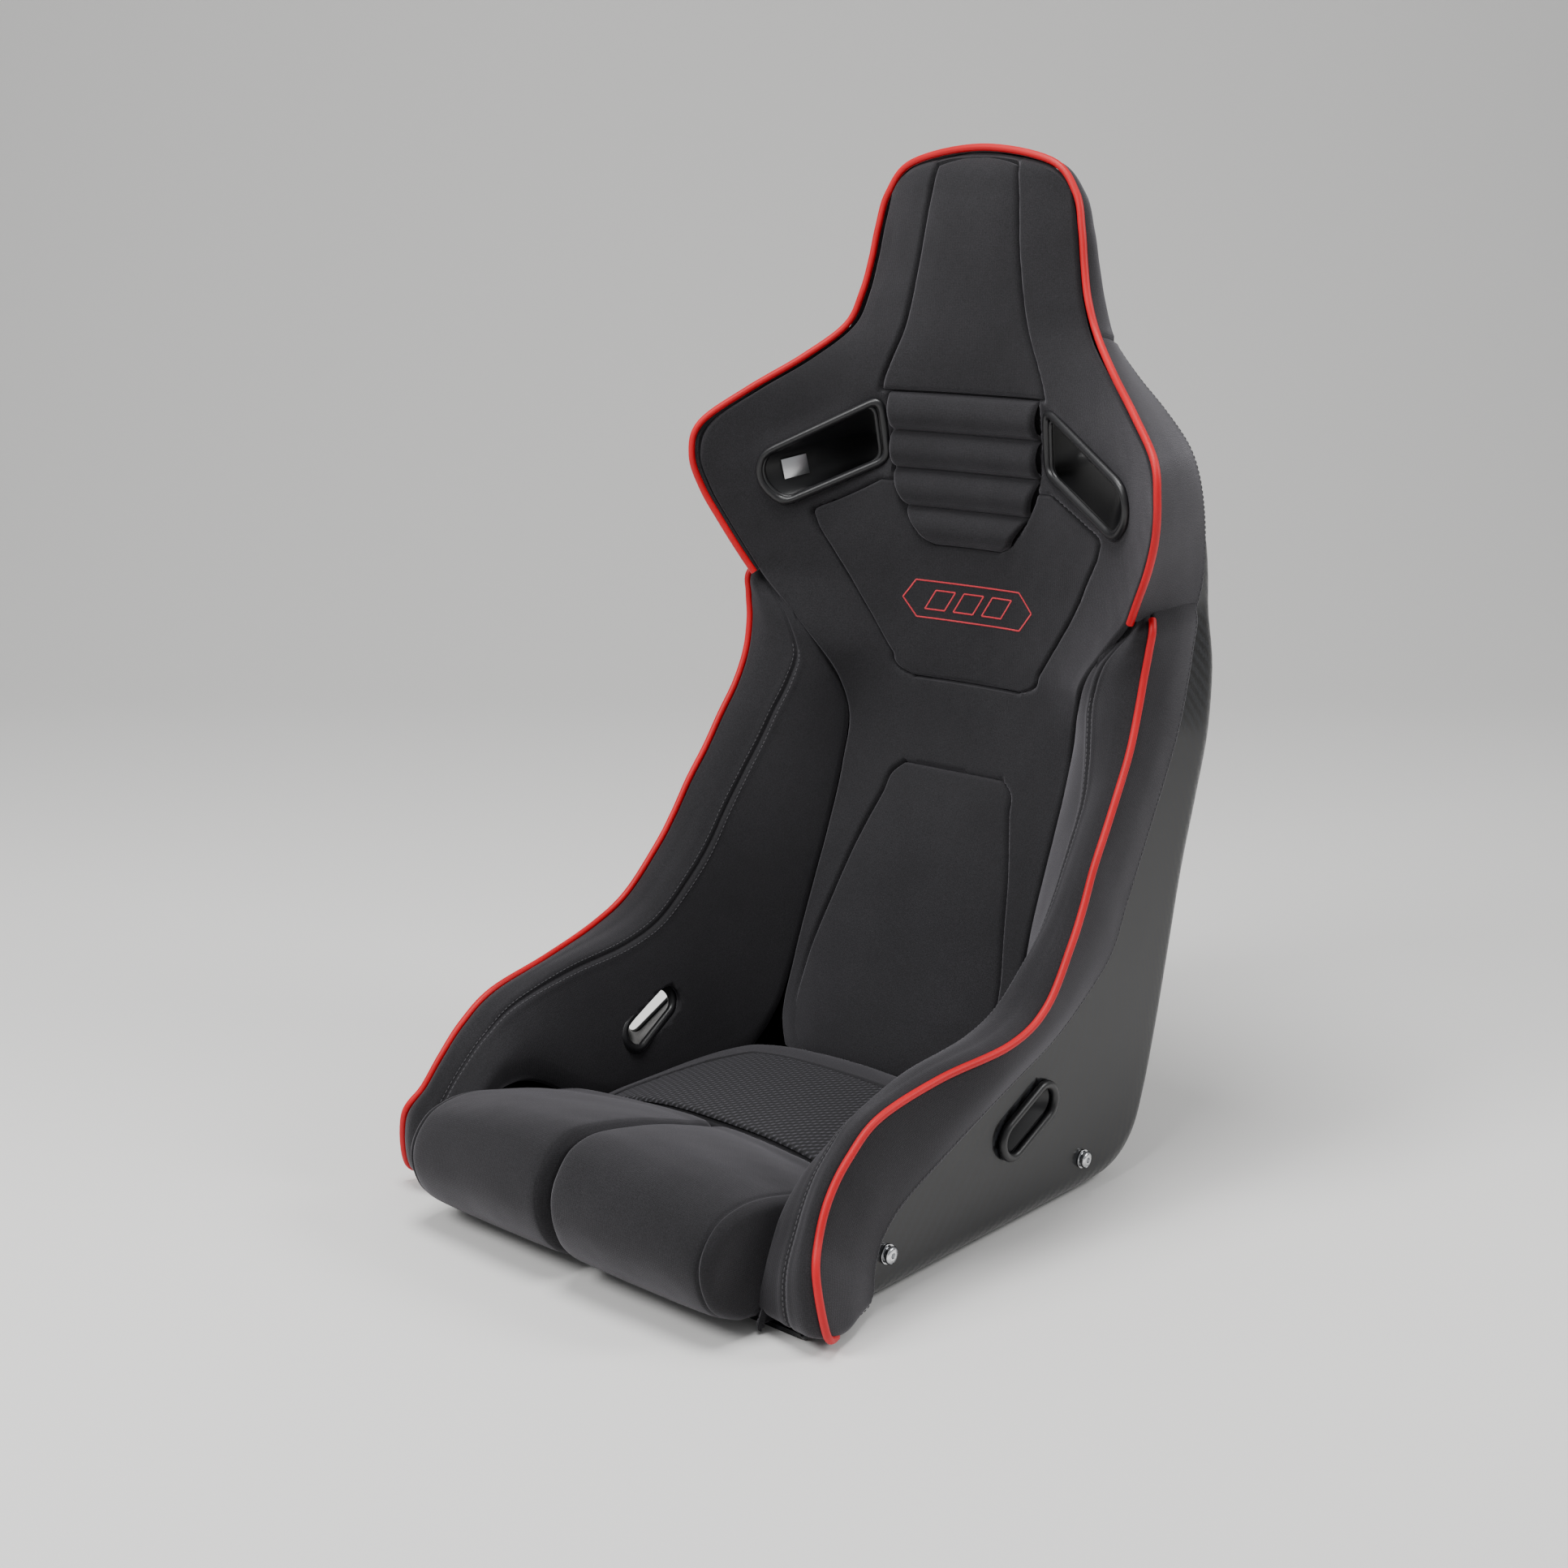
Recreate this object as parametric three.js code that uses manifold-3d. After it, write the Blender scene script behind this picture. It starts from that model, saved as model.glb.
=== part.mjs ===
// A fixed-back racing seat: a composite bucket shell, sewn pads with red piping, belt guides,
// side mounts and a lift-out base cushion.
// Millimetres. +Z is up, the seat faces -Y, +X is the sitter's left-hand side seen from the front.
// The origin is under the middle of the seat, on the plane that the base stands on.

import * as THREE from 'three';
import { mergeVertices } from 'three/addons/utils/BufferGeometryUtils.js';
import Module from 'manifold-3d';

const wasm = await Module();
wasm.setup();

// ---------------------------------------------------------------- driving dimensions

const SHELL_HALF_WIDTH = 239;   // flat sides of the shell, where the rails or brackets bolt on
const SHELL_WALL = 4.5;
const SHELL_CORNER = 30;        // outer radius from the sides into the back and the floor
const BACK_BULGE = 9;           // how far the middle of the back stands behind its sides
const SEAM_GAP = 1.6;           // clear space between two pads at a seam
const FIT = 0.35;               // clear space between touching pieces
const PIPING_RADIUS = 3.4;
const GUSSET_THICKNESS = 3.2;
const PAD_DEPTH = 8;            // thickness of a pad that is set into the back
const PAD_PROUD = 2.5;          // how far its middle stands out
const HEAD_CROWN = 915;         // above this height the head's foam thins out under its gusset
const CUSHION_BOTTOM = 8;
const CUSHION_INSET = 3;        // side clearance of the lift-out cushion
const BOLT_PITCH = 290;         // standard spacing of a seat's side mounts
const BOLT_REAR = { y: 113, z: 41 };
const BOLT_FRONT = { y: BOLT_REAR.y - BOLT_PITCH, z: 46 };
const Y_SHIFT = 6.1;            // moves the finished seat so that its box is centred on the origin

// Sections of a side bolster, from the foot of its nose to the waist:
// seam (with cushion or back), shoulder (a stitched line), ridge (the piping), hem (on the shell).
const BOLSTER = [
  { seam: [192, -288, 24], shoulder: [228, -291, 22], ridge: [266, -286, 22], hem: [-198, 6] },
  { seam: [192, -277, 56], shoulder: [226, -291, 62], ridge: [260, -293, 72], hem: [-197, 18] },
  { seam: [192, -262, 88], shoulder: [221, -271, 98], ridge: [249, -277, 99], hem: [-196, 30] },
  { seam: [192, -243, 108], shoulder: [217, -251, 124], ridge: [244, -258, 127], hem: [-193, 46] },
  { seam: [192, -221, 121], shoulder: [215, -226, 146], ridge: [243, -232, 153], hem: [-184, 64] },
  { seam: [190, -182, 116], shoulder: [213, -190, 168], ridge: [243, -193, 176], hem: [-160, 84] },
  { seam: [182, -110, 72], shoulder: [212, -119, 184], ridge: [248, -118, 190], hem: [-105, 109] },
  { seam: [176, -40, 62], shoulder: [212, -45, 192], ridge: [263, -39, 202], hem: [-18, 145] },
  { seam: [168, 30, 66], shoulder: [212, 6, 208], ridge: [265, 11, 224], hem: [60, 176] },
  { seam: [158, 75, 76], shoulder: [212, 50, 242], ridge: [260, 53, 269], hem: [122, 214] },
  { seam: [150, 104, 102], shoulder: [212, 80, 272], ridge: [257, 75, 300], hem: [150, 240] },
  { seam: [146, 128, 152], shoulder: [211, 104, 306], ridge: [254, 94, 332], hem: [168, 276] },
  { seam: [143, 156, 230], shoulder: [208, 128, 340], ridge: [251, 117, 364], hem: [188, 314] },
  { seam: [142, 180, 290], shoulder: [204, 150, 372], ridge: [249, 137, 395], hem: [207, 350] },
  { seam: [143, 202, 350], shoulder: [198, 165, 402], ridge: [246, 158, 427], hem: [226, 386] },
  { seam: [146, 216, 403], shoulder: [190, 179, 432], ridge: [244, 172, 460], hem: [247, 430] },
  { seam: [156, 206, 440], shoulder: [186, 187, 462], ridge: [245, 179, 493], hem: [261, 478] },
  { seam: [173, 188, 475], shoulder: [196, 184, 494], ridge: [248, 181, 518], hem: [268, 512] },
  { seam: [214, 178, 520], shoulder: [230, 178, 528], ridge: [251, 182, 540], hem: [272, 534] },
];

// The upper cover: ridge (the piping) and hem (on the shell), from the waist to the top of the head.
const WING = [
  { ridge: [232, 172, 543], hem: [240, 273, 543] },
  { ridge: [244, 164, 564], hem: [243, 277, 565] },
  { ridge: [262, 153, 597], hem: [243, 279, 593] },
  { ridge: [276, 141, 630], hem: [243, 276, 629] },
  { ridge: [282, 132, 664], hem: [242, 266, 668] },
  { ridge: [274, 137, 697], hem: [233, 259, 699] },
  { ridge: [234, 165, 731], hem: [203, 264, 729] },
  { ridge: [188, 198, 764], hem: [168, 267, 760] },
  { ridge: [152, 223, 796], hem: [143, 268, 789] },
  { ridge: [136, 229, 829], hem: [131, 266, 825] },
  { ridge: [128, 233, 860], hem: [123, 266, 859] },
  { ridge: [122, 236, 892], hem: [116, 266, 891] },
  { ridge: [112, 239, 925], hem: [106, 265, 922] },
  { ridge: [82, 240, 954], hem: [78, 262, 948] },
  { ridge: [0, 240, 967], hem: [0, 260, 960] },
];
const HEAD_JOINT = 8;           // index of the section where the head's gusset meets the shoulder's

// The shell: rim (hidden under the covers) and keel (outer middle line), half-width at the rim.
const SHELL = [
  { rim: [-275, 18], keel: [-275, 0] },
  { rim: [-262, 60], keel: [-262, 0] },
  { rim: [-238, 102], keel: [-235, 0] },
  { rim: [-184, 146], keel: [-180, 0] },
  { rim: [-112, 162], keel: [-105, 0] },
  { rim: [-35, 174], keel: [-25, 0] },
  { rim: [24, 196], keel: [60, 0] },
  { rim: [52, 222], keel: [120, 0] },
  { rim: [74, 248], keel: [175, 4] },
  { rim: [90, 270], keel: [208, 25] },
  { rim: [101, 286], keel: [226, 62] },
  { rim: [118, 316], keel: [245, 125] },
  { rim: [140, 348], keel: [264, 200] },
  { rim: [161, 378], keel: [284, 280] },
  { rim: [181, 410], keel: [306, 350] },
  { rim: [197, 446], keel: [324, 412] },
  { rim: [205, 490], keel: [335, 480], half: 235 },
  { rim: [210, 540], keel: [330, 535], half: 231 },
  { rim: [204, 570], keel: [320, 572], half: 235 },
  { rim: [197, 600], keel: [308, 604] },
  { rim: [192, 640], keel: [296, 642] },
  { rim: [190, 668], keel: [290, 672], half: 237 },
  { rim: [195, 695], keel: [287, 700], half: 227 },
  { rim: [215, 724], keel: [286, 728], half: 197 },
  { rim: [234, 756], keel: [287, 760], half: 162 },
  { rim: [246, 787], keel: [288, 790], half: 138 },
  { rim: [250, 822], keel: [288, 826], half: 126 },
  { rim: [251, 858], keel: [288, 860], half: 118 },
  { rim: [251, 890], keel: [287, 886], half: 111 },
  { rim: [252, 918], keel: [285, 906], half: 101 },
  { rim: [252, 936], keel: [281, 920], half: 84 },
  { rim: [252, 946], keel: [275, 934], half: 62 },
  { rim: [252, 951], keel: [268, 944], half: 34 },
  { rim: [252, 952], keel: [262, 949], half: 12 },
];

// Middle line of the back's front face, and its edge, against height.
const BACK_MIDDLE = [[10, 92], [50, 88], [84, 86], [130, 106], [168, 127], [250, 163], [332, 200],
  [361, 213], [403, 226], [449, 235], [500, 238], [540, 236], [583, 231], [657, 228], [729, 221],
  [794, 216], [861, 219], [923, 226], [950, 232], [962, 240]];
const BACK_EDGE = [
  [10, 132, 114], [50, 136, 112], [94, 142, 112], [152, 143, 130], [230, 140, 157], [290, 139, 181],
  [350, 140, 203], [403, 143, 216], [440, 152, 208], [475, 168, 191], [520, 206, 180],
  [543, 227, 174], [564, 239, 167], [597, 257, 156], [630, 271, 144], [664, 277, 135],
  [697, 266, 141], [731, 225, 168], [764, 180, 200], [796, 145, 223], [829, 130, 229],
  [860, 123, 233], [892, 117, 236], [925, 105, 239], [948, 80, 240], [959, 48, 241], [962, 36, 241],
];

// Pads set into the back: [height, half-width] rows.
const HEAD_PAD = [[735, 99], [745, 97], [760, 91], [794, 76], [861, 61], [920, 53], [946, 49], [952, 46]];
const CHANNEL_PAD = [[583, 40], [587, 49], [600, 62], [624, 78], [657, 89], [693, 90], [733, 91]];
const UPPER_PANEL = [[447, 66], [452, 80], [470, 93], [500, 113], [534, 136], [570, 158], [600, 174],
  [610, 175], [622, 150], [634, 125], [645, 104]];
const LUMBAR_PAD = [[112, 122], [170, 121], [230, 108], [274, 98], [330, 80], [352, 73], [361, 62]];

// Shoulder belt opening: its rim at the front and the way out through the shell, [half-width, height].
const HARNESS_FRONT = [[101, 726], [98, 666], [203, 616], [221, 632], [225, 650], [218, 667]];
const HARNESS_REAR = [[100, 712], [99, 676], [146, 652], [157, 660], [158, 676], [148, 690]];
const HARNESS_RIM_RADIUS = 3.6;
const GUIDE_WALL = 2.4;

// Lap belt opening: middle of its mouth on the bolster's wall and on the shell's side.
const LAP_INNER = new THREE.Vector3(196, -27, 118);
const LAP_OUTER = new THREE.Vector3(SHELL_HALF_WIDTH, 21, 108);
const LAP_HALF_LENGTH = 40;
const LAP_HALF_WIDTH = 15;
const LAP_SLOPE = THREE.MathUtils.degToRad(26);

// ---------------------------------------------------------------- finishes

const finish = (color, roughness, metalness = 0) =>
  new THREE.MeshStandardMaterial({ color, roughness, metalness });
const CLOTH = finish(0x2b2b2e, 0.95);
const WEAVE = finish(0x3a3a3d, 0.9);
const PIPING = finish(0xe01228, 0.55);
const COMPOSITE = finish(0x0c0c0d, 0.25);
const PLASTIC = finish(0x1b1b1c, 0.45);
const STEEL = finish(0x8a8d90, 0.45, 1);
const CHROME = finish(0xe2e4e6, 0.08, 1);
const SILVER = finish(0xb9bbbd, 0.35, 1);
const TAPE = finish(0x151515, 1);

// ---------------------------------------------------------------- shaping helpers

// Smooth value of a table column at a fractional row.
function blendRows(rows, position) {
  const last = rows.length - 1;
  const index = Math.min(Math.max(Math.floor(position), 0), last - 1);
  const t = position - index;
  const row = (i) => rows[Math.min(Math.max(i, 0), last)];
  const [a, b, c, d] = [row(index - 1), row(index), row(index + 1), row(index + 2)];
  return b.map((value, column) => {
    const slopeIn = (c[column] - a[column]) / 2;
    const slopeOut = (d[column] - value) / 2;
    const rise = c[column] - value;
    return value + t * slopeIn + t * t * (3 * rise - 2 * slopeIn - slopeOut)
      + t * t * t * (slopeIn + slopeOut - 2 * rise);
  });
}

// Value of a [key, value, ...] table at a key, as straight stretches softened by smooth rows.
function lookUp(table, key) {
  const last = table.length - 1;
  let index = 0;
  while (index < last - 1 && key > table[index + 1][0]) index += 1;
  const t = (key - table[index][0]) / (table[index + 1][0] - table[index][0]);
  return blendRows(table.map((row) => row.slice(1)), index + Math.min(Math.max(t, 0), 1));
}

const point = (x, y, z) => new THREE.Vector3(x, y, z);
const mix = (a, b, t) => a.clone().lerp(b, t);

// Closed solid through loops of points; a ring of loops has no end caps.
function loft(loops, ring = false) {
  const count = loops[0].length;
  const vertices = loops.flat();
  const triangles = [];
  const stretches = ring ? loops.length : loops.length - 1;
  for (let i = 0; i < stretches; i += 1) {
    const next = ((i + 1) % loops.length) * count;
    for (let j = 0; j < count; j += 1) {
      const k = (j + 1) % count;
      triangles.push(i * count + j, i * count + k, next + k);
      triangles.push(i * count + j, next + k, next + j);
    }
  }
  if (!ring) {
    capLoop(loops[0], 0, triangles, false);
    capLoop(loops[loops.length - 1], (loops.length - 1) * count, triangles, true);
  }
  return outward(vertices, triangles);
}

// Triangles over a loop, found in the plane that the loop lies in.
function capLoop(loop, start, triangles, flip) {
  const middle = loop.reduce((sum, p) => sum.add(p), point(0, 0, 0)).divideScalar(loop.length);
  const normal = point(0, 0, 0);
  loop.forEach((p, i) => {
    const q = loop[(i + 1) % loop.length];
    normal.add(p.clone().sub(middle).cross(q.clone().sub(middle)));
  });
  normal.normalize();
  const across = loop[0].clone().sub(middle).projectOnPlane(normal).normalize();
  const along = normal.clone().cross(across);
  const flat = loop.map((p) => {
    const offset = p.clone().sub(middle);
    return new THREE.Vector2(offset.dot(across), offset.dot(along));
  });
  THREE.ShapeUtils.triangulateShape(flat, []).forEach(([a, b, c]) => {
    triangles.push(...(flip ? [start + a, start + b, start + c] : [start + c, start + b, start + a]));
  });
}

// Geometry from vertices and triangles, turned so that its faces point out.
function outward(vertices, triangles) {
  let volume = 0;
  for (let i = 0; i < triangles.length; i += 3) {
    const [a, b, c] = [0, 1, 2].map((j) => vertices[triangles[i + j]]);
    volume += a.dot(b.clone().cross(c));
  }
  if (volume < 0) triangles.reverse();
  const geometry = new THREE.BufferGeometry();
  const numbers = vertices.flatMap((p) => [p.x, p.y, p.z]);
  geometry.setAttribute('position', new THREE.Float32BufferAttribute(numbers, 3));
  geometry.setIndex(triangles);
  return geometry;
}

// Boolean solids.
function solid(geometry) {
  const bare = geometry.clone();
  bare.deleteAttribute('normal');
  bare.deleteAttribute('uv');
  const merged = mergeVertices(bare, 1e-3);
  return new wasm.Manifold(new wasm.Mesh({
    numProp: 3,
    vertProperties: new Float32Array(merged.attributes.position.array),
    triVerts: new Uint32Array(merged.index.array),
  }));
}
function unsolid(body) {
  const { vertProperties, triVerts } = body.getMesh();
  const geometry = new THREE.BufferGeometry();
  geometry.setAttribute('position', new THREE.Float32BufferAttribute(vertProperties, 3));
  geometry.setIndex(Array.from(triVerts));
  return geometry;
}
const cut = (geometry, ...tools) =>
  unsolid(tools.reduce((body, tool) => body.subtract(solid(tool)), solid(geometry)));
const join = (...parts) => unsolid(parts.map(solid).reduce((body, part) => body.add(part)));

// The same shape on the other side of the seat.
function mirrored(geometry) {
  const copy = geometry.clone();
  copy.scale(-1, 1, 1);
  const index = Array.from(copy.index.array);
  for (let i = 0; i < index.length; i += 3) [index[i], index[i + 1]] = [index[i + 1], index[i]];
  copy.setIndex(index);
  return copy;
}

// A closed outline with rounded corners.
function roundOutline(corners, radius, steps = 3) {
  const outline = [];
  corners.forEach((corner, i) => {
    const before = corners[(i + corners.length - 1) % corners.length];
    const after = corners[(i + 1) % corners.length];
    const toBefore = before.clone().sub(corner);
    const toAfter = after.clone().sub(corner);
    const reach = Math.min(radius, toBefore.length() * 0.45, toAfter.length() * 0.45);
    const start = corner.clone().add(toBefore.setLength(reach));
    const end = corner.clone().add(toAfter.setLength(reach));
    const bend = new THREE.QuadraticBezierCurve3(start, corner, end);
    outline.push(...bend.getPoints(steps));
  });
  return outline;
}

// Directions away from the middle of a closed outline, square to it, at each of its points.
function sideways(outline, axis) {
  const directions = outline.map((p, i) => {
    const before = outline[(i + outline.length - 1) % outline.length];
    const after = outline[(i + 1) % outline.length];
    return after.clone().sub(before).cross(axis).normalize();
  });
  const middle = outline.reduce((sum, p) => sum.add(p), point(0, 0, 0)).divideScalar(outline.length);
  const outwards = outline.reduce((sum, p, i) => sum + p.clone().sub(middle).dot(directions[i]), 0);
  return outwards > 0 ? directions : directions.map((direction) => direction.negate());
}

// A round bead that follows a closed outline.
function bead(outline, radius, sides = 6) {
  const middle = outline.reduce((sum, p) => sum.add(p), point(0, 0, 0)).divideScalar(outline.length);
  const axis = point(0, 0, 0);
  outline.forEach((p, i) => {
    const q = outline[(i + 1) % outline.length];
    axis.add(p.clone().sub(middle).cross(q.clone().sub(middle)));
  });
  axis.normalize();
  const sides3d = sideways(outline, axis);
  const loops = outline.map((p, i) => {
    const side = sides3d[i];
    return Array.from({ length: sides }, (_, j) => {
      const angle = (j / sides) * Math.PI * 2;
      return p.clone().addScaledVector(side, Math.cos(angle) * radius)
        .addScaledVector(axis, Math.sin(angle) * radius);
    });
  });
  return loft(loops, true);
}

// ---------------------------------------------------------------- the bolsters and gussets

const BOLSTER_STEPS = 30;
const bolsterRows = BOLSTER.map(({ seam, shoulder, ridge, hem }) =>
  [...seam, ...shoulder, ...ridge, ...hem]);

function bolsterAt(position) {
  const v = blendRows(bolsterRows, position);
  return {
    seam: point(v[0], v[1], v[2]),
    shoulder: point(v[3], v[4], v[5]),
    ridge: point(v[6], v[7], v[8]),
    hem: point(SHELL_HALF_WIDTH + FIT + GUSSET_THICKNESS, v[9], v[10]),
  };
}

function bolsterPad() {
  const ROOF = 12;              // foam over the shell's rim
  const last = BOLSTER.length - 1;
  const loops = [];
  for (let i = 0; i <= BOLSTER_STEPS; i += 1) {
    const { seam, shoulder, ridge, hem } = bolsterAt((i / BOLSTER_STEPS) * last);
    const inward = hem.clone().sub(ridge).setX(0).normalize();
    const crown = mix(shoulder, ridge, 0.55).addScaledVector(inward, -5);
    const wall = mix(seam, shoulder, 0.5).add(point(-4, 0, 0));
    const lip = mix(ridge, shoulder, (PIPING_RADIUS + SEAM_GAP) / ridge.distanceTo(shoulder));
    const edge = lip.clone().addScaledVector(inward, ROOF - 3).add(point(-3.5, 0, 0));
    const inside = Math.min(shoulder.x + 14, SHELL_HALF_WIDTH - SHELL_WALL - 4);
    const under = shoulder.clone().addScaledVector(inward, ROOF).setX(inside);
    const back = mix(seam, shoulder, 0.55).addScaledVector(inward, 2).setX(
      Math.min(mix(seam, shoulder, 0.55).x + 16, inside));
    const foot = seam.clone().add(point(10, 0, 0));
    loops.push([seam, wall, shoulder, crown, lip, edge, under, back, foot]);
  }
  return loft(loops);
}

// A thin sewn side panel from beside the piping to the hem.
function gusset(sections) {
  const loops = sections.map(({ ridge, hem }) => {
    const down = hem.clone().sub(ridge);
    const start = ridge.clone().addScaledVector(down, (PIPING_RADIUS + 1.5 * SEAM_GAP) / down.length());
    const bow = mix(start, hem, 0.5).add(point(1.5, 0, 0));
    const inner = [start, bow, hem].map((p) => p.clone().add(point(-GUSSET_THICKNESS, 0, 0)));
    return [start, bow, hem, inner[2], inner[1], inner[0]];
  });
  return loft(loops);
}

function bolsterGusset() {
  const last = BOLSTER.length - 1;
  return gusset(Array.from({ length: BOLSTER_STEPS + 1 }, (_, i) =>
    bolsterAt((i / BOLSTER_STEPS) * last)));
}

const wingRows = WING.map(({ ridge, hem }) => [...ridge, ...hem]);
function wingAt(position) {
  const v = blendRows(wingRows, position);
  return { ridge: point(v[0], v[1], v[2]), hem: point(v[3], v[4], v[5]) };
}

function wingGusset() {
  const steps = 20;
  return gusset(Array.from({ length: steps + 1 }, (_, i) =>
    wingAt((i / steps) * (HEAD_JOINT - 0.06))));
}

// The head's gusset goes up one side, over the top and down the other.
function headGusset() {
  const steps = 18;
  const last = WING.length - 1;
  const side = Array.from({ length: steps + 1 }, (_, i) =>
    wingAt(HEAD_JOINT + (i / steps) * (last - HEAD_JOINT)));
  const loops = side.map(({ ridge, hem }, i) => {
    const before = side[Math.max(i - 1, 0)].ridge;
    const after = i === steps ? point(-before.x, before.y, before.z) : side[i + 1].ridge;
    const outwards = point(0, 1, 0).cross(after.clone().sub(before)).normalize();
    const down = hem.clone().sub(ridge);
    const start = ridge.clone().addScaledVector(down, (PIPING_RADIUS + 1.5 * SEAM_GAP) / down.length());
    const inner = [start, hem].map((p) => p.clone().addScaledVector(outwards, -GUSSET_THICKNESS));
    return [start, hem, inner[1], inner[0]];
  });
  const flip = (p) => point(-p.x, p.y, p.z);
  const other = loops.slice(0, -1).reverse().map((loop) => loop.map(flip));
  return loft([...loops, ...other]);
}

function pipingAlong(points) {
  const curve = new THREE.CatmullRomCurve3(points, false, 'centripetal');
  const section = new THREE.Shape();
  section.absarc(0, 0, PIPING_RADIUS, 0, Math.PI * 2);
  return new THREE.ExtrudeGeometry(section, {
    steps: Math.round(points.length * 1.6),
    curveSegments: 4,
    bevelEnabled: false,
    extrudePath: curve,
  });
}

const lowerPiping = pipingAlong(BOLSTER.map(({ ridge }) => point(...ridge)));
const wingRidge = WING.map(({ ridge }) => point(...ridge));
const upperPiping = pipingAlong([
  ...wingRidge,
  ...wingRidge.slice(0, -1).reverse().map((p) => point(-p.x, p.y, p.z)),
]);

// ---------------------------------------------------------------- the shell

const shellRows = SHELL.map(({ rim, keel, half = SHELL_HALF_WIDTH }) => [...rim, ...keel, half]);

function shellLoop(position) {
  const [rimY, rimZ, keelY, keelHeight, half] = blendRows(shellRows, position);
  const keelZ = Math.max(0, keelHeight);
  const rim = point(0, rimY, rimZ);
  const inward = point(0, keelY - rimY, keelZ - rimZ);
  const depth = inward.length();
  inward.normalize();
  const isBack = Math.min(1, Math.max(0, (keelZ - 4) / 90));
  const wall = (inset) => {
    const corner = Math.min(SHELL_CORNER, depth * 0.6, half * 0.8) - inset;
    const floor = depth - inset;
    const side = Math.min(half, SHELL_HALF_WIDTH) - inset;
    const profile = [[side, 0], [side, (floor - corner) * 0.5]];
    for (let i = 0; i <= 3; i += 1) {
      const angle = (i / 3) * (Math.PI / 2);
      profile.push([side - corner + Math.cos(angle) * corner, floor - corner + Math.sin(angle) * corner]);
    }
    const flat = side - corner;
    for (const t of [0.66, 0.33, 0]) {
      profile.push([flat * t, floor + BACK_BULGE * isBack * (1 - t * t)]);
    }
    const halfProfile = profile.map(([x, d]) => rim.clone().setX(x).addScaledVector(inward, d));
    const mirror = halfProfile.slice(0, -1).reverse().map((p) => point(-p.x, p.y, p.z));
    return [...halfProfile, ...mirror];
  };
  return [...wall(0), ...wall(SHELL_WALL).reverse()];
}

// Prism of an outline, between two y places.
function prismY(outline, near, far) {
  return loft([outline.map((p) => point(p.x, near, p.z)), outline.map((p) => point(p.x, far, p.z))]);
}

function harnessOutline(corners, yOf, grow = 0) {
  const outline = roundOutline(corners.map(([x, z]) => point(x, 0, z)), 13);
  return sideways(outline, point(0, 1, 0)).map((away, i) => {
    const moved = outline[i].clone().addScaledVector(away, grow);
    return moved.setY(yOf(moved.x, moved.z));
  });
}

// The front rims of the shoulder openings lie in a plane that follows the shoulder's slope.
const rimPlane = (x, z) => 217 - 0.458 * (x - 102) - 0.14 * (z - 728);
const HARNESS_EXIT = 281;       // where the guides end, just inside the shell's back

// The obround mouth of the lap opening, its long axis rising towards the back.
function lapOutline(middle, grow, tilt, steps = 5) {
  const along = point(tilt * 0.5, Math.cos(LAP_SLOPE), Math.sin(LAP_SLOPE)).normalize();
  const across = point(tilt, -Math.sin(LAP_SLOPE), Math.cos(LAP_SLOPE)).normalize();
  const radius = LAP_HALF_WIDTH + grow;
  const straight = LAP_HALF_LENGTH - LAP_HALF_WIDTH;
  const outline = [];
  [[1, -Math.PI / 2], [-1, Math.PI / 2]].forEach(([end, from]) => {
    for (let i = 0; i <= steps; i += 1) {
      const angle = from + (i / steps) * Math.PI;
      outline.push(middle.clone()
        .addScaledVector(along, end * straight + Math.cos(angle) * radius)
        .addScaledVector(across, Math.sin(angle) * radius));
    }
  });
  return outline;
}
const WALL_TILT = 0.28;         // lean of the bolster's inner wall
const lapWay = LAP_OUTER.clone().sub(LAP_INNER);
const lapTunnel = (grow, from, to) => loft([
  lapOutline(LAP_INNER.clone().addScaledVector(lapWay, from), grow, WALL_TILT * (1 - from)),
  lapOutline(LAP_INNER.clone().addScaledVector(lapWay, to), grow, 0),
]);

function boltHole(place) {
  const drill = new THREE.CylinderGeometry(4.6, 4.6, 40, 12);
  drill.rotateZ(Math.PI / 2);
  drill.translate(SHELL_HALF_WIDTH, place.y, place.z);
  return drill;
}

function shell() {
  const steps = 42;
  const last = SHELL.length - 1;
  const loops = Array.from({ length: steps + 1 }, (_, i) => shellLoop((i / steps) * last));
  const wayOut = prismY(harnessOutline(HARNESS_REAR, () => 0, 4), 262, 330);
  const lapHole = lapTunnel(2.6, 0.75, 1.3);
  const holes = [wayOut, lapHole, boltHole(BOLT_FRONT), boltHole(BOLT_REAR)];
  return cut(loft(loops), ...holes, ...holes.map(mirrored));
}

// ---------------------------------------------------------------- the back and its pads

function backFront(x, z) {
  const [middle] = lookUp(BACK_MIDDLE, z);
  const [half, edge] = lookUp(BACK_EDGE, z);
  const t = Math.min(Math.abs(x) / half, 1);
  return middle + (edge - middle) * t ** 2.4;
}

// Inside of the shell's back at a height.
function shellInside(z) {
  const keel = SHELL.slice(8).map(({ keel: [y, keelZ] }) => [keelZ, y]);
  return lookUp(keel, z)[0] - SHELL_WALL - 3;
}

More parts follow.
